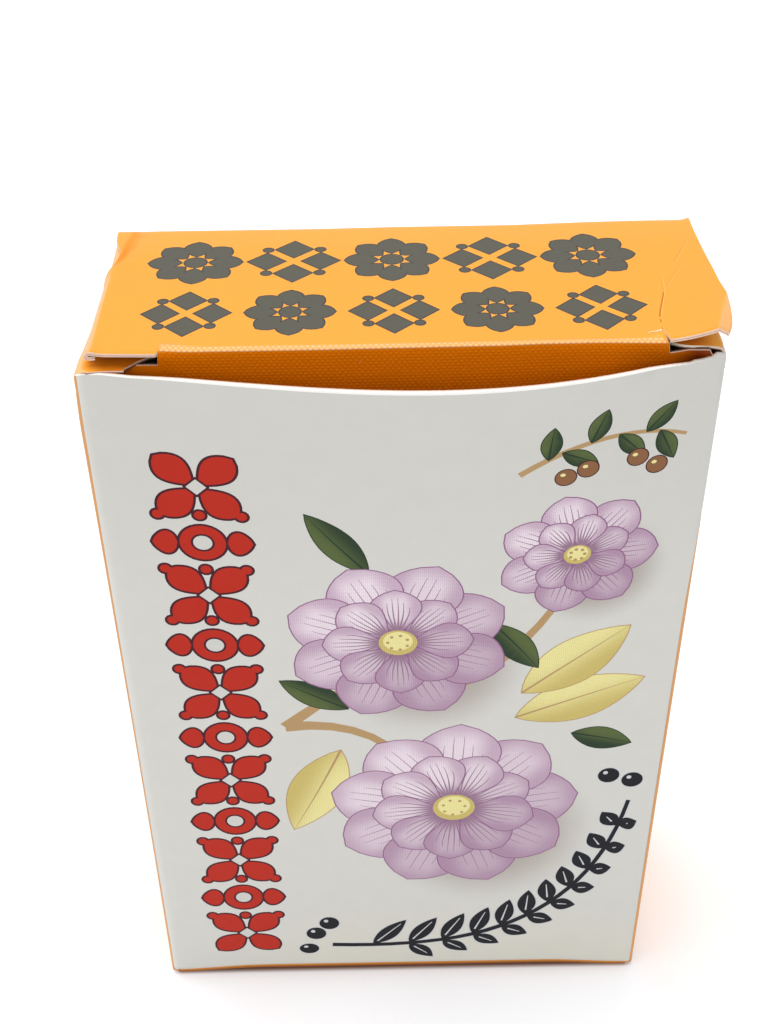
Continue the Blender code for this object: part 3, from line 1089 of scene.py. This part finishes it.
def bump_at(distance, width):
    """A bell of height 1, by the distance from its middle."""
    return np.exp(-((distance / width) ** 2))


def lift_at(u, v):
    """How far the lid's right front corner is bent up."""
    right = np.clip((u - LIFT_START) / (LIFT_FULL - LIFT_START), 0, 1.15)
    return LIFT * right**LIFT_POWER * np.clip((LID_LENGTH - v) / LID_LENGTH, 0, 1.1) ** 2


def curled(points, start, end, bends):
    """Rolls down the part of a flat sheet that lies right of the line from start to end, in bends given
    as (distance from the line, radius, angle). Returns the flat points and how far each has dropped.
    Radii are numbers, and angles may differ from point to point."""
    heading = heading_from(start, end)
    past = np.clip(-((points - start) / heading).imag, 0, None)
    section, turned, at = np.zeros(len(points), complex), 0.0, 0.0
    for begin, radius, angle in [*bends, (np.inf, 1.0, 0.0)]:
        section = section + (np.clip(past, at, begin) - at) * np.exp(-1j * turned)
        arc = np.clip(past - begin, 0, radius * angle)
        section = section + 1j * radius * (np.exp(-1j * arc / radius) - 1) * np.exp(-1j * turned)
        turned = turned + arc / radius
        at = begin + radius * angle
    return points - 1j * heading * (section.real - past), -section.imag


def lid_place(points):
    """Place function of the lid. Flat u is the frame's x, and v runs back from the tuck crease."""
    u, v = points.real, points.imag
    left_bend = np.radians(np.interp(v, [-1.0, 0.5, 2.0, 13.0, 17.0], [38.0, 45.0, 50.0, 50.0, 0.0]))
    left_hook = np.radians(np.interp(v, [-1.0, 0.3, 1.5], [175.0, 100.0, 0.0]))
    left_bends = [(0, 0.45, left_bend), (0.5, 0.38, left_hook)]
    flat, left_drop = curled(points, LEFT_BEND_START, LEFT_BEND_END, left_bends)
    right_bend = np.interp(v, [-1.0, 3.0], [0.85, 0.68])
    right_hook = np.radians(np.interp(v, [-1.0, 0.4, 1.5], [110.0, 20.0, 0.0]))
    right_bends = [(0, 0.3, right_bend), (1.5, 0.36, right_hook)]
    flat, right_drop = curled(flat, FOLD_START, FOLD_END, right_bends)
    placed = along(LID_PATH, flat.imag + LID_START)
    up = lift_at(flat.real, flat.imag) - left_drop - right_drop - dent_at(u, v) - sag_at(u, v)
    up += ROLL_LIFT * smooth(-27.6, -28.5, u) * smooth(1.6, 0.2, v)
    up += TIP_RISE * bump_at(np.abs(points - CORNER_TIP), TIP_WIDTH)
    return np.stack([flat.real + pinch_at(u, v), placed.real, placed.imag + up], axis=-1)


def sag_at(u, v):
    """How far the lid's back crease has sunk, most at the left."""
    along_back = np.interp(u, [-26, -8, 0, 12, 20, 26], [0.42, 0.42, 0.32, 0.3, 0.08, 0])
    return along_back * smooth(0.3 * LID_LENGTH, LID_LENGTH, v) * smooth(LID_V_END, LID_LENGTH + 0.2, v)


def dent_at(u, v):
    """The fold across the lid's rear left corner."""
    distance = np.min(np.abs((u + 1j * v)[:, None] - DENT[None, :]), axis=1)
    return DENT_DEPTH * bump_at(distance, DENT_WIDTH) * smooth(25.6, 24.6, v)


def pinch_at(u, v):
    """The lid's left edge drawn in beside that fold."""
    return PINCH * bump_at(v - PINCH_V, PINCH_WIDTH) * smooth(-27.2, -29.4, u)


# The ends of the line behind the slits' heads, where the lid's sheet and the tuck flap's meet
JOIN_LEFT = complex(SLIT_HEAD_LEFT.real, JOIN_V)
JOIN_RIGHT = complex(SLIT_HEAD_RIGHT.real, JOIN_V)


def lid_outline():
    """The lid laid flat. Returns the outline and the joined stretches."""
    outline = [
        *(np.arange(LID_EDGE_LEFT - 1.35, -27.9, 0.1) - 1j * (WING_REACH - 0.2)),
        SLIT_LEFT - SLIT_GAP - 0.2 - 1j * WING_REACH,
        SLIT_LEFT - SLIT_GAP - 0.05 - 1j * (WING_REACH - 0.07),
        SLIT_LEFT - SLIT_GAP - 1j * (WING_REACH - 0.2),
        SLIT_HEAD_LEFT - SLIT_GAP,
        SLIT_HEAD_LEFT,
        JOIN_LEFT,
        JOIN_RIGHT,
        SLIT_HEAD_RIGHT,
        SLIT_HEAD_RIGHT + SLIT_GAP,
        SLIT_RIGHT - 0.12 + 0.1j,
        SLIT_RIGHT - 0.1 - 1j * (WING_REACH - 0.3),
        SLIT_RIGHT + 0.1 - 1j * (WING_REACH - 0.22),
        *(np.arange(28.4, LID_EDGE_RIGHT - 0.1, 0.12) - 1j * WING_REACH),
        LID_EDGE_RIGHT - 0.1 + 1.4j,
        LID_EDGE_RIGHT + 0.02 + 4j,
        LID_EDGE_RIGHT - 0.02 + 7j,
        LID_EDGE_RIGHT - 0.08 + 10j,
        LID_EDGE_RIGHT - 0.02 + 13j,
        LID_EDGE_RIGHT - 0.2 + 1j * (LID_LENGTH - 0.1),
        SIDE - CORNER + 1j * (LID_LENGTH + 0.15),
        SIDE - CORNER + 1j * LID_V_END,
        -SIDE + CORNER + 1j * LID_V_END,
        -SIDE + CORNER + 1j * (LID_LENGTH + 0.4),
        -29.15 + 1j * (LID_LENGTH - 0.2),
        -29.0 + 21j,
        -29.0 + 17j,
        LID_EDGE_LEFT + 14j,
        LID_EDGE_LEFT + 1.8j,
        LID_EDGE_LEFT - 0.3 + 0.9j,
        LID_EDGE_LEFT - 1.25 + 0.1j,
    ]
    joined = [
        (SLIT_HEAD_LEFT, JOIN_LEFT),
        (JOIN_LEFT, JOIN_RIGHT),
        (JOIN_RIGHT, SLIT_HEAD_RIGHT),
        (SIDE - CORNER + 1j * LID_V_END, -SIDE + CORNER + 1j * LID_V_END),
    ]
    return outline, joined


def lid_fill():
    """Points close together over the rolled sides and the back crease, and further apart elsewhere."""
    us = [steps(-27.4, 27.8, 0.8), np.arange(-30.5, -27.6, 0.13), np.arange(28.0, 31.4, 0.15)]
    bend = LID_LENGTH - 0.3
    vs = [steps(-1.0, LID_LENGTH - 1.4, 0.55), np.arange(bend - 0.9, bend + 0.9, 0.1)]
    return grid(np.sort(np.concatenate(us)), np.sort(np.concatenate(vs)))


def make_lid():
    outline, joined = lid_outline()
    item = sheet(
        "lid_board",
        outline,
        lid_place,
        (LID_PRINT, INSIDE, EDGE),
        lid_ground,
        motifs=lid_motifs(),
        fill=lid_fill(),
        spacing=0.8,
        joined=joined,
        thick=FLAP_BOARD,
    )
    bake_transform(item)
    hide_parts("lid")


def lid_ground(points):
    """Orange, paler along the bent sides as painted highlight with some rubbing, paler towards the back
    crease as painted reflection, and darker in the dented corner as painted shade.
    """
    u, v = points.real, points.imag
    # Painted highlight with some rubbing along the bent sides, and painted reflection towards the back
    left = smooth(-28.5, -28.75, u) * smooth(17.5, 14.0, v)
    right_of_fold = -((points - FOLD_START) / (FOLD_END - FOLD_START)).imag
    right = smooth(0.0, 0.02, right_of_fold) * smooth(10.0, 7.0, v)
    back = 0.1 * smooth(LID_LENGTH - 8.0, LID_LENGTH, v)
    back += 0.25 * smooth(LID_LENGTH - 1.2, LID_LENGTH - 0.2, v)
    back *= smooth(LID_LENGTH + 1.0, LID_LENGTH + 0.2, v)
    pale = np.maximum(np.maximum(0.75 * left, 0.5 * right), back)
    colour = mix(ORANGE, PALE_ORANGE, pale)
    # Painted shade in the dented corner
    distance = np.min(np.abs(points[:, None] - (DENT - 0.45)[None, :]), axis=1)
    dent_shade = smooth(0.75, 0.35, distance) * smooth(16.0, 17.5, v)
    colour = mix(colour, DEEP_SHADE_ORANGE, 0.5 * dent_shade)
    return screened(colour, ORANGE_DOTS)


RIDGE_OFFSET = 0.14


def cracks():
    """Fine cracks in the coating, where the lid's front right corner has been bent up. Each has its
    points, its widths at both ends and how deep it is, from 0 to 1, drawn darker as painted shade in
    its groove, and a painted highlight on its right for its ridge."""
    lines = [
        ([29.5 + 20.2j, 29.39 + 19.74j, 28.42 + 17.35j, 27.55 + 15.51j], 0.08, 0.2, 0.3),
        ([28.23 + 14.87j, 27.07 + 12.68j, 26.02 + 10.41j], 0.1, 0.16, 0.25),
        ([25.7 + 12.21j, 25.56 + 10.27j, 25.44 + 9.11j], 0.08, 0.16, 0.3),
        ([25.42 + 9.0j, 25.38 + 8.67j, 24.86 + 6.57j, 24.56 + 5.39j, 24.33 + 4.14j], 0.14, 0.18, 1.0),
        ([24.24 + 3.69j, 24.36 + 3.4j, 24.22 + 3.06j], 0.16, 0.12, 1.0),
        ([24.15 + 2.16j, 24.21 + 1.65j], 0.14, 0.1, 1.0),
    ]
    found = []
    for points, start, end, depth in lines:
        # A painted highlight beside each crack, and the crack darker by its depth as painted shade
        beside = [p + RIDGE_OFFSET for p in points]
        found.append((stroke(beside, 0.5 * start, 0.5 * end), solid(RIDGE_HIGHLIGHT_ORANGE)))
        ink = mix(ORANGE, CRACK_SHADE_INK, np.array([depth]))[0]
        found.append((stroke(points, start, end), solid(ink)))
    return found


def rosette(middle, reach):
    """Eight petals round a disc."""
    width, disc = 0.56 * reach, 0.23 * reach
    petals = [blade(middle + 0.3 * reach * d, middle + reach * d, width, 1.2, 0.7) for d in rays(8)]
    return petals + [ellipse(middle, disc, disc, count=20)]


def lozenge_cross(middle, reach):
    """Four lozenges in a cross, with dots between them."""
    shapes = [lozenge(middle + 0.58 * reach * d, 0.4 * reach, 0.4 * reach) for d in rays(4)]
    dot = 0.1 * reach
    return shapes + [ellipse(middle + 0.8 * reach * d, dot, dot, count=12) for d in rays(4, 45)]


# The lid's two rows of motifs, as (place up the lid, reach, number of the first rosette)
ROWS = ((17.6, 4.7, 0), (6.8, 4.3, 1))
ROW_COUNT = 5
ROW_PITCH = 9.9
ROW_MIDDLE = -0.6


def lid_motifs():
    """Two rows of rosettes and lozenge crosses in turn, and the cracks."""
    shapes = []
    for v, reach, first in ROWS:
        for k in range(ROW_COUNT):
            middle = complex((k - (ROW_COUNT - 1) / 2) * ROW_PITCH + ROW_MIDDLE, v)
            shapes += (rosette if k % 2 == first else lozenge_cross)(middle, reach)
    return rimmed(shapes, solid(GREY_INK, 0.3), solid(GREY_RIM), 0.16) + cracks()


TUCK_LENGTH = 13.0
TUCK_TILT_DEG = 12.0
TUCK_SWELL = 0.3
EAR_LEFT = -26.8
EAR_RIGHT = 28.8
EAR_LEFT_DROP = 1.88
EAR_RIGHT_DROP = 1.53
EAR_RADIUS = 8.5
TUCK_DOWN = np.exp(-1j * math.radians(90 - TUCK_TILT_DEG))
TUCK_END = LID_FRONT + TUCK_LENGTH * TUCK_DOWN
TUCK_RUN_ON = 5.0
TUCK_PATH, _, TUCK_PATH_END = folded_path(
    [
        (TUCK_END, 0),
        (LID_FRONT, TUCK_BEND_RADIUS),
        (LID_FRONT + TUCK_RUN_ON * LID_HEADING, 0),
    ]
)

# The flap's lower end, and how much its bend has shortened it
TUCK_V_START = TUCK_RUN_ON - TUCK_PATH_END
TUCK_SHORTENED = TUCK_V_START + TUCK_LENGTH


def tuck_ground(points):
    """The lid's orange above the crease, and below it a deeper orange painted as shade, darker towards
    the right ear as painted shade under the dust flap.
    """
    u, v = points.real, points.imag
    share = smooth(-0.16, -0.08, v)
    colour = mix(DEEP_SHADE_ORANGE, ORANGE, share)
    # Painted shade under the right dust flap, growing towards the ear
    shaded = np.interp(u, [19.5, 25.3, 27.2], [0, 0.4, 0.95])
    colour = mix(colour, DARK_SHADE_ORANGE, shaded * (1 - share))
    return screened(colour, DEEP_DOTS + (ORANGE_DOTS - DEEP_DOTS) * share)


def crease_rise(u):
    """How far the tuck crease stands off the lid's plane, along its length."""
    return np.interp(u, [-8.0, 9.0, 13.0, 18.0, 25.0], [-0.06, 0.09, 0.21, 0.25, 0.10])


def tuck_place(points):
    """Place function of the tuck flap. Its flat u and v are the lid's, and v is negative below the
    crease."""
    u, v = points.real, points.imag
    placed = along(TUCK_PATH, v - TUCK_V_START)
    on_lid = smooth(0.1, 1.1, v)
    swell = tuck_swell(points)
    up = crease_rise(u) * (1 - on_lid) + lift_at(u, v) * on_lid + swell
    return np.stack([u, placed.real - 0.7 * swell, placed.imag + up], axis=-1)


def tuck_swell(points):
    """How far the crease bulges beside the left slit."""
    u, v = points.real, points.imag
    near_crease = smooth(SLIT_HEAD_LEFT.imag, 0.6, v) * smooth(-1.6, -0.3, v)
    return TUCK_SWELL * bump_at(u - SLIT_LEFT, 1.5) * near_crease


def torn_lip():
    """The coating torn up beside the right slit's end with a painted shadow under it, and a scuff on the
    tuck flap's face.
    """
    head = SLIT_HEAD_RIGHT
    lip = [head - 1.4 - 0.3j, head - 1.05 - 0.12j, head - 0.5 - 0.12j, head - 0.02 + 0.05j]
    return [
        # Painted shadow under the torn lip
        (stroke([p - 0.13j for p in lip], 0.06, 0.2), solid(DEEP_SHADE_ORANGE)),
        (stroke(lip, 0.06, 0.24), solid(WORN_AND_HIGHLIGHT_ORANGE)),
        (ellipse(-3.84 - 1.7j, 0.08, 0.06, count=8), solid(EDGE_PALE)),
    ]


def ear_corner(u, start_deg):
    """A rounded lower corner of the tuck flap, about a place across it, from an angle on."""
    centre = complex(u, TUCK_V_START + EAR_RADIUS)
    angles = np.radians(np.linspace(start_deg, start_deg + 90, 9))
    return list(centre + EAR_RADIUS * np.exp(1j * angles))


def tuck_outline():
    """The tuck flap laid flat. Returns the outline and the joined stretches."""
    left_v = TUCK_SHORTENED - EAR_LEFT_DROP
    right_v = TUCK_SHORTENED - EAR_RIGHT_DROP
    outline = ear_corner(EAR_LEFT + EAR_RADIUS, 180) + ear_corner(EAR_RIGHT - EAR_RADIUS, 270)
    outline += [
        EAR_RIGHT + 1j * (right_v - 0.3),
        EAR_RIGHT - 0.3 + 1j * (right_v + 0.3),
        SLIT_RIGHT + 1.85 + 1j * (right_v + 0.36),
        SLIT_RIGHT + 1.2 + 1j * (right_v + 0.2),
        SLIT_RIGHT + 0.16 + 1j * right_v,
        SLIT_RIGHT - 0.05 - 0.3j,
        SLIT_RIGHT - 0.17 + 0.1j,
        SLIT_HEAD_RIGHT,
        JOIN_RIGHT,
        JOIN_LEFT,
        SLIT_HEAD_LEFT,
        SLIT_LEFT - 0.1j,
        SLIT_LEFT - 0.22 + 1j * left_v,
        EAR_LEFT + 1j * left_v,
    ]
    joined = [(SLIT_HEAD_RIGHT, JOIN_RIGHT), (JOIN_RIGHT, JOIN_LEFT), (JOIN_LEFT, SLIT_HEAD_LEFT)]
    return outline, joined


def tuck_fill():
    """Points close together over the crease, and further apart below it."""
    vs = [steps(TUCK_V_START, -0.7, 0.7), np.arange(-0.6, JOIN_V, 0.08)]
    return grid(steps(EAR_LEFT, EAR_RIGHT, 0.7), np.concatenate(vs))


def make_tuck():
    outline, joined = tuck_outline()
    item = sheet(
        "tuck_board",
        outline,
        tuck_place,
        (LID_PRINT, INSIDE, EDGE),
        tuck_ground,
        motifs=torn_lip(),
        fill=tuck_fill(),
        spacing=0.5,
        joined=joined,
        # The cut edge's lower rows are painted shade
        edge=(EDGE_PALE, EDGE_CORE, EDGE_SHADE_DEEP, EDGE_SHADE_DEEP, EDGE_SHADE_DEEP),
        thick=FLAP_BOARD,
    )
    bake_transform(item)
    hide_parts("tuck_flap")


# The dust flaps

DUST_LENGTH = 22.0
DUST_RADIUS = 0.8
DUST_PATH, _, _ = folded_path(
    [
        (complex(0, DUST_JOIN), 0),
        (complex(0, DUST_CREASE_Z), DUST_RADIUS),
        (complex(-DUST_LENGTH, DUST_CREASE_Z), 0),
    ]
)
DUST_STRIP = DUST_CREASE_Z - DUST_JOIN


def dust_place(sign, rise):
    """Place function of a dust flap. Its flat u runs along the crease, so that u times sign is y, and
    v is the distance from the crease. Rise gives how far a point stands above the flap's plane."""

    def place(points):
        path = along(DUST_PATH, points.imag + DUST_STRIP)
        y = sign * points.real
        past = np.clip(np.abs(y) - (REAR - CREASE_RADIUS), 0, CREASE_RADIUS * 0.98)
        rounding = CREASE_RADIUS - np.sqrt(CREASE_RADIUS**2 - past**2)
        x = sign * (SIDE + path.real - rounding)
        placed = settled(x, y, path.imag)
        placed[:, 2] += rise(points) * smooth(-1.4, 0.6, points.imag)
        return placed

    return place


def left_rise(points):
    """How far the left dust flap's front part is lifted."""
    y, v = -points.real, points.imag
    return np.interp(v, [3.9, 5.4, 8.0, 12.0], [0.48, 0.3, 0.25, 0]) * smooth(-8.0, -10.4, y)


def right_rise(points):
    """How far the right dust flap's front part is lifted."""
    y, v = points.real, points.imag
    stops = [0.5, 1.1, 2.0, 3.6, 5.5, 8.0, 12.0]
    along_edge = np.interp(v, stops, [0.65, 0.9, 1.15, 1.2, 0.95, 0.6, 0])
    return along_edge * smooth(-4.0, -11.5, y)


def dust_ground(pale):
    """Ground of a dust flap: a painted highlight at the crease by a share, then orange, and painted shade
    under the lid.
    """

    def ground(points):
        v = points.imag
        # Painted shade under the lid, then a painted highlight at the crease
        colour = mix(ORANGE, DIM_SHADE_ORANGE, 0.85 * smooth(0.4, 2.6, v))
        colour = mix(colour, PALE_ORANGE, pale * smooth(0.8, 0.2, v))
        return screened(colour, DEEP_DOTS)

    return ground


# A dust flap's edges beyond its shoulder, as y, and both shoulders as (y, distance from the crease)
DUST_FRONT_Y = -9.6
DUST_TIP_Y = 1.2
DUST_REAR_Y = 11.8
LEFT_SHOULDER = [
    (-12.95, 0.2),
    (-13.1, 0.5),
    (-13.0, 2.2),
    (-13.05, 3.9),
    (-12.25, 4.7),
    (-11.35, 5.4),
    (-10.75, 6.2),
    (-10.1, 7.3),
]
RIGHT_SHOULDER = [
    (-12.45, 0.1),
    (-12.52, 0.5),
    (-12.73, 1.1),
    (-12.98, 2.0),
    (-12.92, 3.0),
    (-12.82, 3.6),
    (-12.55, 4.2),
    (-11.95, 5.0),
    (-10.8, 7.2),
]


def dust_outline(shoulder, sign):
    """A dust flap laid flat, from the front of its crease on. Returns the outline and the joined
    stretch."""
    points = [
        (shoulder[0][0], -DUST_STRIP),
        *shoulder,
        (DUST_FRONT_Y, 9.0),
        (DUST_FRONT_Y, DUST_LENGTH - 2.0),
        (DUST_FRONT_Y + 0.7, DUST_LENGTH - 0.6),
        (DUST_FRONT_Y + 2.0, DUST_LENGTH),
        (DUST_TIP_Y - 1.5, DUST_LENGTH),
        (DUST_TIP_Y, DUST_LENGTH - 0.9),
        (DUST_REAR_Y, 0.3),
        (DUST_REAR_Y, -DUST_STRIP),
    ]
    outline = [complex(sign * y, v) for y, v in points]
    return outline, [(outline[-1], outline[0])]


def white_corner():
    """Where the front's white runs round the right crease onto the dust flap's strip."""
    return np.array([-14 - 3j, -10.0 - 3j, -10.6 - 0.7j, -11.8 + 0.05j, -14 + 0.2j])


def dust_fill(outline):
    """Points close together over the crease, and further apart beyond it."""
    low, high = np.min(np.real(outline)), np.max(np.real(outline))
    vs = [np.arange(-1.6, 1.3, 0.14), steps(1.6, DUST_LENGTH, 0.8)]
    return grid(steps(low, high, 0.7), np.concatenate(vs))


def make_dust_flaps():
    # The cut edges' dark lower rows are painted shade, and the right flap's cream rows are painted light
    left_edge = (EDGE_PALE, EDGE_CORE, EDGE_CORE, EDGE_SHADE_DARK, EDGE_SHADE_DARK)
    right_edge = (EDGE_PALE, EDGE_LIT_CREAM, EDGE_LIT_CREAM, EDGE_CORE, EDGE_SHADE_DARK)
    # The fifth value is each flap's share of painted highlight at its crease
    for side, sign, shoulder, rise, crease_highlight, edge in (
        ("left", -1, LEFT_SHOULDER, left_rise, 0.9, left_edge),
        ("right", 1, RIGHT_SHOULDER, right_rise, 0.25, right_edge),
    ):
        outline, joined = dust_outline(shoulder, sign)
        item = sheet(
            f"dust_{side}_board",
            outline,
            dust_place(sign, rise),
            (MATTE_PRINT, INSIDE, EDGE),
            dust_ground(crease_highlight),
            motifs=[(white_corner(), solid(WHITE_COAT))] if sign > 0 else [],
            fill=dust_fill(outline),
            spacing=0.6,
            joined=joined,
            edge=edge,
            thick=FLAP_BOARD,
        )
        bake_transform(item)
        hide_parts(f"dust_flap_{side}")


# The glued bottom

WIDE_HALF = SIDE - CORNER
NARROW_HALF = REAR - CORNER

# Each flap's headings along its crease and outwards, its level, the reach of its wall, the height where
# its strip on the wall ends, half its width, its length and how far its free corners are cut back
BOTTOM_FLAPS = {
    "bottom_outer_flap": ((1, 0, 0), (0, -1, 0), 0.0, REAR, FRONT_FOOT, WIDE_HALF, DEPTH - LAYER, 0.0),
    "bottom_inner_flap": ((-1, 0, 0), (0, 1, 0), LAYER, REAR, REAR_FOOT, WIDE_HALF, 18.0, 2.0),
    "bottom_side_flap_left": ((0, -1, 0), (-1, 0, 0), 2 * LAYER, SIDE, SIDE_FOOT, NARROW_HALF, 20.0, 2.0),
    "bottom_side_flap_right": ((0, 1, 0), (1, 0, 0), 2 * LAYER, SIDE, SIDE_FOOT, NARROW_HALF, 20.0, 2.0),
}


def bottom_place(across, outward, level, reach, foot):
    """Place function of a bottom flap that starts at a wall. Its flat u runs along the crease, and v is
    the distance from the crease, upwards on the wall and negative on the flap."""
    path, _, end = folded_path(
        [
            (complex(reach - REAR, level), 0),
            (complex(reach, level), CREASE_RADIUS),
            (complex(reach, foot), 0),
        ]
    )
    across, outward = np.array(across), np.array(outward)

    def place(points):
        found = along(path, end - (foot - level) + points.imag)
        flat = points.real[:, None] * across + found.real[:, None] * outward
        return settled(flat[:, 0], flat[:, 1], found.imag)

    return place


def shaded_crease(points):
    """Orange, with painted shade round the crease that the bottom shares with the front."""
    v = points.imag
    # Painted shade round the crease, darkest just above it
    colour = mix(ORANGE, SHADED_ORANGE, 0.8 * smooth(-2.0, -0.5, v))
    colour = mix(colour, DARK_SHADE_ORANGE, 0.6 * smooth(0.8, 0.6, v) * smooth(-0.6, 0.0, v))
    return screened(colour, ORANGE_DOTS)


def white_strip(half):
    """The front's white, where it ends on the outer flap's strip."""
    left = -half - 1
    return np.array([left + 2j, left + 1j * WHITE_FOOT, half + 1j * WHITE_FOOT, half + 2j])


def make_bottom():
    for name, (across, outward, level, reach, foot, half, length, cut) in BOTTOM_FLAPS.items():
        top = foot - level
        white, ground = [], solid(ORANGE, ORANGE_DOTS)
        if name == "bottom_outer_flap":
            # The outer flap's ground has painted shade round its crease
            ground = shaded_crease
            white = [(white_strip(half), solid(WHITE_COAT))]
        outline = [
            complex(-half, top),
            complex(-half, -0.4),
            complex(-half + cut, -length),
            complex(half - cut, -length),
            complex(half, -0.4),
            complex(half, top),
        ]
        vs = np.concatenate([steps(-length, -1.2, 2.0), np.arange(-1.0, top, 0.1)])
        item = sheet(
            name + "_board",
            outline,
            bottom_place(across, outward, level, reach, foot),
            (MATTE_PRINT, INSIDE, EDGE),
            ground,
            motifs=white,
            fill=grid(steps(-half, half, 1.5), vs),
            joined=[(complex(-half, top), complex(half, top))],
        )
        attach(item, "carton")
        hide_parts(name)


# Camera, floor and light

# The camera, fitted to the carton's visible corners, with its place in millimetres
IMAGE_HEIGHT = 1024
FOCAL_PIXELS = 1548.8
CAMERA_AT = (-2.808, -132.421, 174.579)
PITCH_DEG = 39.154
YAW_DEG = 0.474
ROLL_DEG = -0.644

# The floor, and its glow: what it gains close to the foot and further out, and loses far away
FLOOR_HALF = 3.0
FLOOR_WHITE = (0.90, 0.90, 0.92, 1)
# Painted warm shadow along the front's foot
CONTACT_SHADOW_BROWN = (0.30, 0.14, 0.08, 1)
GLOW_WHITE = (0.99, 0.985, 1.0, 1)
GLOW_NEAR = 0.2
GLOW_WIDE = 0.05
GLOW_LOST = 0.07

# The sky's light and the lamps' white
SKY_WHITE = (0.97, 0.985, 1.0, 1)
SKY_STRENGTH = 0.60
LAMP_WHITE = (1.0, 0.985, 0.96)


def make_camera():
    camera = bpy.data.cameras.new("camera")
    camera.sensor_width = 36
    camera.lens = camera.sensor_width * FOCAL_PIXELS / IMAGE_HEIGHT
    camera.clip_start = 0.01
    camera.clip_end = 20
    item = bpy.data.objects.new("camera", camera)
    turn = Matrix.Rotation(math.radians(-YAW_DEG), 3, "Z")
    turn = turn @ Matrix.Rotation(math.radians(90 - PITCH_DEG), 3, "X")
    turn = turn @ Matrix.Rotation(math.radians(ROLL_DEG), 3, "Z")
    item.matrix_world = Matrix.Translation(Vector(CAMERA_AT) * MM) @ turn.to_4x4()
    bpy.context.collection.objects.link(item)
    bpy.context.scene.camera = item


def floor_distance(nodes):
    """How far a place on the floor lies outside the carton's foot, in metres, and the share of the
    painted warm shadow along the front's foot."""
    place = nodes.add("ShaderNodeTexCoord").outputs["Object"]
    parts = nodes.add("ShaderNodeSeparateXYZ", {0: place}).outputs
    aside = nodes.math("ABSOLUTE", parts[0])
    across = nodes.math("SUBTRACT", aside, (SIDE - 0.3) * MM)
    deep = nodes.math("SUBTRACT", nodes.math("ABSOLUTE", parts[1]), (REAR - 0.3) * MM)
    ahead = nodes.mapped(parts[1], -(REAR + 0.15) * MM, -(REAR - 0.6) * MM, 0.0, 1.0)
    short_of_middle = nodes.mapped(parts[1], -REAR * MM, 0.0, 1.0, 0.0)
    between = nodes.mapped(aside, (SIDE - 1.2) * MM, (SIDE - 0.2) * MM, 1.0, 0.0)
    return nodes.math("MAXIMUM", across, deep), nodes.times(ahead, short_of_middle, between)


def floor_glow(nodes, distance):
    """The table's glow, painted light from an emission, faded out close to the carton's foot as a painted
    contact shadow, and weaker far away.
    """
    # Less glow close to the foot stands for a painted contact shadow
    near = nodes.mapped(distance, -0.2 * MM, 0.4 * MM, 0.0, GLOW_NEAR)
    wide = nodes.mapped(distance, 0.4 * MM, 12 * MM, 0.0, GLOW_WIDE)
    far = nodes.mapped(distance, 0.15, 0.45, 0.0, GLOW_LOST)
    return nodes.math("SUBTRACT", nodes.math("ADD", near, wide), far)


def make_stage():
    mesh = bpy.data.meshes.new("floor")
    corners = [(FLOOR_HALF * x, FLOOR_HALF * y, 0) for x, y in ((-1, -1), (1, -1), (1, 1), (-1, 1))]
    mesh.from_pydata(corners, [], [(0, 1, 2, 3)])
    nodes = Nodes("floor")
    distance, contact_shadow = floor_distance(nodes)
    # Painted warm shadow on the floor along the front's foot
    base = nodes.tint(FLOOR_WHITE, CONTACT_SHADOW_BROWN, blend="MIX", share=contact_shadow)
    glow = {"Emission Color": GLOW_WHITE, "Emission Strength": floor_glow(nodes, distance)}
    mesh.materials.append(
        nodes.shaded({"Base Color": base, "Roughness": 0.8, "Specular IOR Level": 0.1, **glow})
    )
    floor = bpy.data.objects.new("floor", mesh)
    bpy.context.collection.objects.link(floor)
    floor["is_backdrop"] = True


def area_light(name, place, target, size, power):
    """A round lamp at a place, facing a target, in metres and watts."""
    lamp = bpy.data.lights.new(name, "AREA")
    lamp.shape = "DISK"
    lamp.size = size
    lamp.energy = power
    lamp.color = LAMP_WHITE
    item = bpy.data.objects.new(name, lamp)
    item.location = place
    item.rotation_euler = (Vector(target) - Vector(place)).to_track_quat("-Z", "Y").to_euler()
    bpy.context.collection.objects.link(item)


def make_light():
    world = bpy.data.worlds.new("studio")
    world.use_nodes = True
    sky = world.node_tree.nodes["Background"]
    sky.inputs[0].default_value = SKY_WHITE
    sky.inputs[1].default_value = SKY_STRENGTH
    bpy.context.scene.world = world
    area_light("softbox", (-0.15, 0.1, 0.8), (0, 0, 0.05), size=0.7, power=3.7)
    area_light("fill", (0, -0.65, 0.5), (0, 0, 0.08), size=0.4, power=1.2)
    bpy.context.scene.view_settings.view_transform = "Standard"


make_camera()
make_stage()
make_light()
make_sleeve()
make_lid()
make_tuck()
make_dust_flaps()
make_bottom()

bpy.context.view_layer.update()
boxes = {"cad": cad_box, "visual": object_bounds()}
{name: [list(corner) for corner in box] for name, box in boxes.items()}
